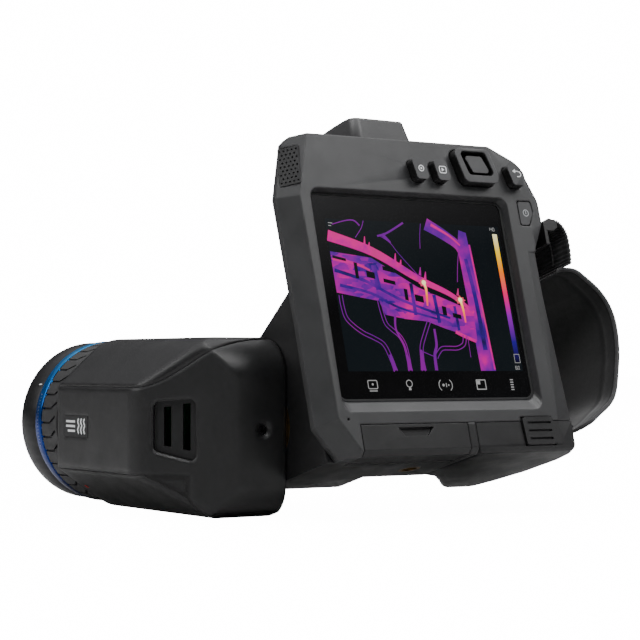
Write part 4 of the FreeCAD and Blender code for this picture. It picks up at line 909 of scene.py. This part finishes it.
def make_piping(half):
    """Bound edge of tape along both long sides of the pad."""
    path = pad_line()
    last = len(path) - 1
    for name, sign in (("rear", -1), ("front", 1)):
        edge = [Vector((p.x, p.z + sign * (half(i / last) - 0.2), p.y)) for i, p in enumerate(path)]
        tube("pad_piping_" + name, edge, 0.95, PIPING)


WEB_MIDDLE = 22.2
WEB_HALF = 18.8
TAIL_HALF = 14.0


def make_webbing():
    """Ribbed webbing from the bracket bar down to the pad, and a short tail below."""
    outline = [(70.3, 35.5), (74.6, 35.1), (76.9, 33.6), (78.6, 30.9), (79.2, 26.9),
               (78.9, 20.8), (78.2, 16.8)]
    upper = smooth_path([(x, z, WEB_MIDDLE) for x, z in outline], 14)

    def ribs(s):
        return 0.2 * math.sin(2 * math.pi * s * 17)

    band_up = strap_grid("webbing_upper", upper, lambda s: WEB_HALF, lambda s, t: 1.5, WEBBING, 10,
                         ribs=ribs)
    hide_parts("strap_webbing_upper")
    lower = smooth_path([(71.6, -51.6, 26), (69.4, -49.6, 26), (68.3, -46, 26), (68.2, -38.4, 26)], 10)
    band_low = strap_grid("webbing_lower", lower, lambda s: TAIL_HALF, lambda s, t: 1.2, WEBBING, 10)
    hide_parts("strap_webbing_lower")
    make_stitches(upper)


STITCH_LINE = 13.2


def make_stitches(path):
    """A row of stitches down the webbing, near its rear edge."""
    shapes = []
    for i in range(6, len(path) - 8, 3):
        spot = path[i]
        ahead = (path[i + 1] - path[i - 1]).normalized()
        outwards = Vector((-ahead.y, ahead.x, 0)).normalized()
        for side in (-1, 1):
            middle = Vector((spot.x, spot.y, 0)) + outwards * side * 1.12
            half = Vector((ahead.x, ahead.y, 0)) * 0.55
            corners = []
            for depth in (-0.12, 0.22):
                for along, across in ((-1, -0.25), (1, -0.25), (1, 0.25), (-1, 0.25)):
                    base = middle + half * along + outwards * side * depth
                    corners.append((base.x, STITCH_LINE + across, base.y))
            shapes.append((corners, BOX_FACES))
    made = piece("webbing_stitches", *merged(shapes), THREAD, "display_unit")


# --------------------------------------------------------------------------
# optical block details
# --------------------------------------------------------------------------
BADGE_FACE = 34.12


def make_badge_mark():
    """Plain heat-wave symbol and bar on the blank badge."""
    shapes = []
    for y in (55.0, 57.6, 60.2):
        wave = [(y - 0.5, -3.6), (y + 0.5, -2.0), (y - 0.5, -0.4), (y + 0.5, 1.2), (y - 0.4, 2.4)]
        shapes.append(ribbon(wave, 0.9, BADGE_FACE, BADGE_FACE + 0.06))
    for z, length in ((-2.6, 6.4), (-0.7, 8.0), (1.2, 8.0)):
        bar = rectangle(63.2, 63.2 + length, z - 0.45, z + 0.45)
        shapes.append(slab(bar, BADGE_FACE, BADGE_FACE + 0.06))
    points, faces = merged(shapes)
    turned = [(-y, x, z) for x, y, z in points]
    piece("badge_mark", turned, faces, WHITE, "optics", OPTICS)


def around(radius, degrees, y):
    """A point round the lens axis; 0 degrees is straight up and 90 is towards the left side."""
    angle = math.radians(degrees)
    return Vector((-radius * math.sin(angle), y, radius * math.cos(angle)))


def ring_tick(radius, degrees, y0, y1, width, height=0.06):
    """A short raised bar along the lens axis, on a ring."""
    half = math.degrees(width / radius / 2)
    corners = []
    for r in (radius - 0.05, radius + height):
        for angle, y in ((-half, y0), (half, y0), (half, y1), (-half, y1)):
            corners.append(around(r, degrees + angle, y))
    return corners, BOX_FACES


def make_ring_marks():
    """Fine index marks: a scale on the accent ring and one tick on the front rim."""
    scale = []
    for i in range(17):
        long = 1.0 if i % 4 == 0 else 0.55
        scale.append(ring_tick(34.0, 70 + i * 2.3, 98.4, 98.4 + long, 0.16, 0.03))
    piece("accent_scale", *merged(scale), FAINT, "optics", OPTICS)
    tick = [ring_tick(33.5, 62, 104.0, 106.6, 0.5)]
    piece("rim_tick", *merged(tick), WHITE, "optics", OPTICS)


# --------------------------------------------------------------------------
# stage, light and camera
# --------------------------------------------------------------------------
FLOOR_WHITE = 15.0
FLOOR_HALF = 6.0


def make_stage():
    """Bright paper floor: it looks white to the camera and lights the object as plain paper."""
    mesh = bpy.data.meshes.new("studio_floor")
    corners = [(x, y, 0) for x, y in rectangle(-FLOOR_HALF, FLOOR_HALF, -FLOOR_HALF, FLOOR_HALF)]
    mesh.from_pydata(corners, [], [[0, 1, 2, 3]])
    floor = bpy.data.objects.new("studio_floor", mesh)
    bpy.context.collection.objects.link(floor)
    paint = Paint("studio_paper", Specular_IOR_Level=0.1)
    stops = [(0.0, (0.44, 0.44, 0.44)), (1.0, (0.47, 0.47, 0.47))]
    paint.colour(paint.ramp(paint.noise(3, 2), stops, 0.3, 0.7))
    paint.rough(paint.grey(paint.noise(8, 2), 0.85, 0.95))
    seen = paint.node("ShaderNodeLightPath").outputs["Is Camera Ray"]
    paint.link(paint.math("MULTIPLY", seen, FLOOR_WHITE), paint.shader.inputs["Emission Strength"])
    paint.shader.inputs["Emission Color"].default_value = (1, 1, 1, 1)
    mesh.materials.append(paint.material)


def make_world():
    """White surroundings for the camera; for the light, bright above and dim near the ground."""
    world = bpy.data.worlds.new("studio_world")
    bpy.context.scene.world = world
    world.use_nodes = True
    tree = world.node_tree
    tree.nodes.clear()
    place = tree.nodes.new("ShaderNodeTexCoord")
    split = tree.nodes.new("ShaderNodeSeparateXYZ")
    tree.links.new(place.outputs["Generated"], split.inputs[0])
    ramp = tree.nodes.new("ShaderNodeValToRGB")
    elements = ramp.color_ramp.elements
    while len(elements) < 4:
        elements.new(0.5)
    levels = ((0.0, 0.08), (0.455, 0.035), (0.535, 0.6), (1.0, 0.9))
    for element, (position, value) in zip(elements, levels):
        element.position = position
        element.color = (value, value, value * 1.02, 1)
    tree.links.new(split.outputs["Z"], ramp.inputs["Fac"])
    soft = tree.nodes.new("ShaderNodeBackground")
    tree.links.new(ramp.outputs["Color"], soft.inputs["Color"])
    white = tree.nodes.new("ShaderNodeBackground")
    white.inputs["Color"].default_value = (1, 1, 1, 1)
    white.inputs["Strength"].default_value = 16.0
    rays = tree.nodes.new("ShaderNodeLightPath")
    mix = tree.nodes.new("ShaderNodeMixShader")
    tree.links.new(rays.outputs["Is Camera Ray"], mix.inputs["Fac"])
    tree.links.new(soft.outputs[0], mix.inputs[1])
    tree.links.new(white.outputs[0], mix.inputs[2])
    out = tree.nodes.new("ShaderNodeOutputWorld")
    tree.links.new(mix.outputs[0], out.inputs["Surface"])


def add_light(name, spot, target, size, power):
    """A soft square panel of light that faces a target."""
    data = bpy.data.lights.new(name, "AREA")
    data.shape = "SQUARE"
    data.size = size
    data.energy = power
    made = bpy.data.objects.new(name, data)
    made.location = spot
    made.rotation_euler = (Vector(target) - Vector(spot)).to_track_quat("-Z", "Y").to_euler()
    bpy.context.collection.objects.link(made)


def make_lights():
    middle = (0.05, 0.0, 0.07)
    add_light("front_panel", (0.75, -0.60, 1.20), middle, 0.9, 19)
    add_light("left_panel", (-1.20, 0.60, 0.75), middle, 0.7, 8)
    add_light("top_panel", (0.0, 0.1, 1.5), middle, 1.2, 12)
    add_light("corner_panel", (-0.30, -0.42, 1.00), (0.0, 0.0, 0.06), 0.3, 6)
    add_light("rim_panel", (1.1, 0.5, 0.7), middle, 0.6, 6)


def make_camera():
    """The viewer's place: behind the object's left side, just above the floor."""
    data = bpy.data.cameras.new("view_camera")
    data.lens = 109.9
    data.sensor_width = 36.0
    made = bpy.data.objects.new("view_camera", data)
    right = Vector((0.8371, -0.547, 0.0)).normalized()
    forward = Vector((0.5469, 0.8369, 0.0225)).normalized()
    up = right.cross(forward).normalized()
    right = forward.cross(up)
    turn = Matrix((right, up, -forward)).transposed().to_4x4()
    made.matrix_world = Matrix.Translation((-0.3816, -0.6485, 0.0590)) @ turn
    bpy.context.collection.objects.link(made)
    bpy.context.scene.camera = made


paint_nodes()
soften_edges()
make_picture()
make_palette()
make_toolbar()
make_gasket()
make_key_marks()
make_pad()
make_webbing()
make_badge_mark()
make_ring_marks()
make_stage()
make_world()
make_lights()
make_camera()
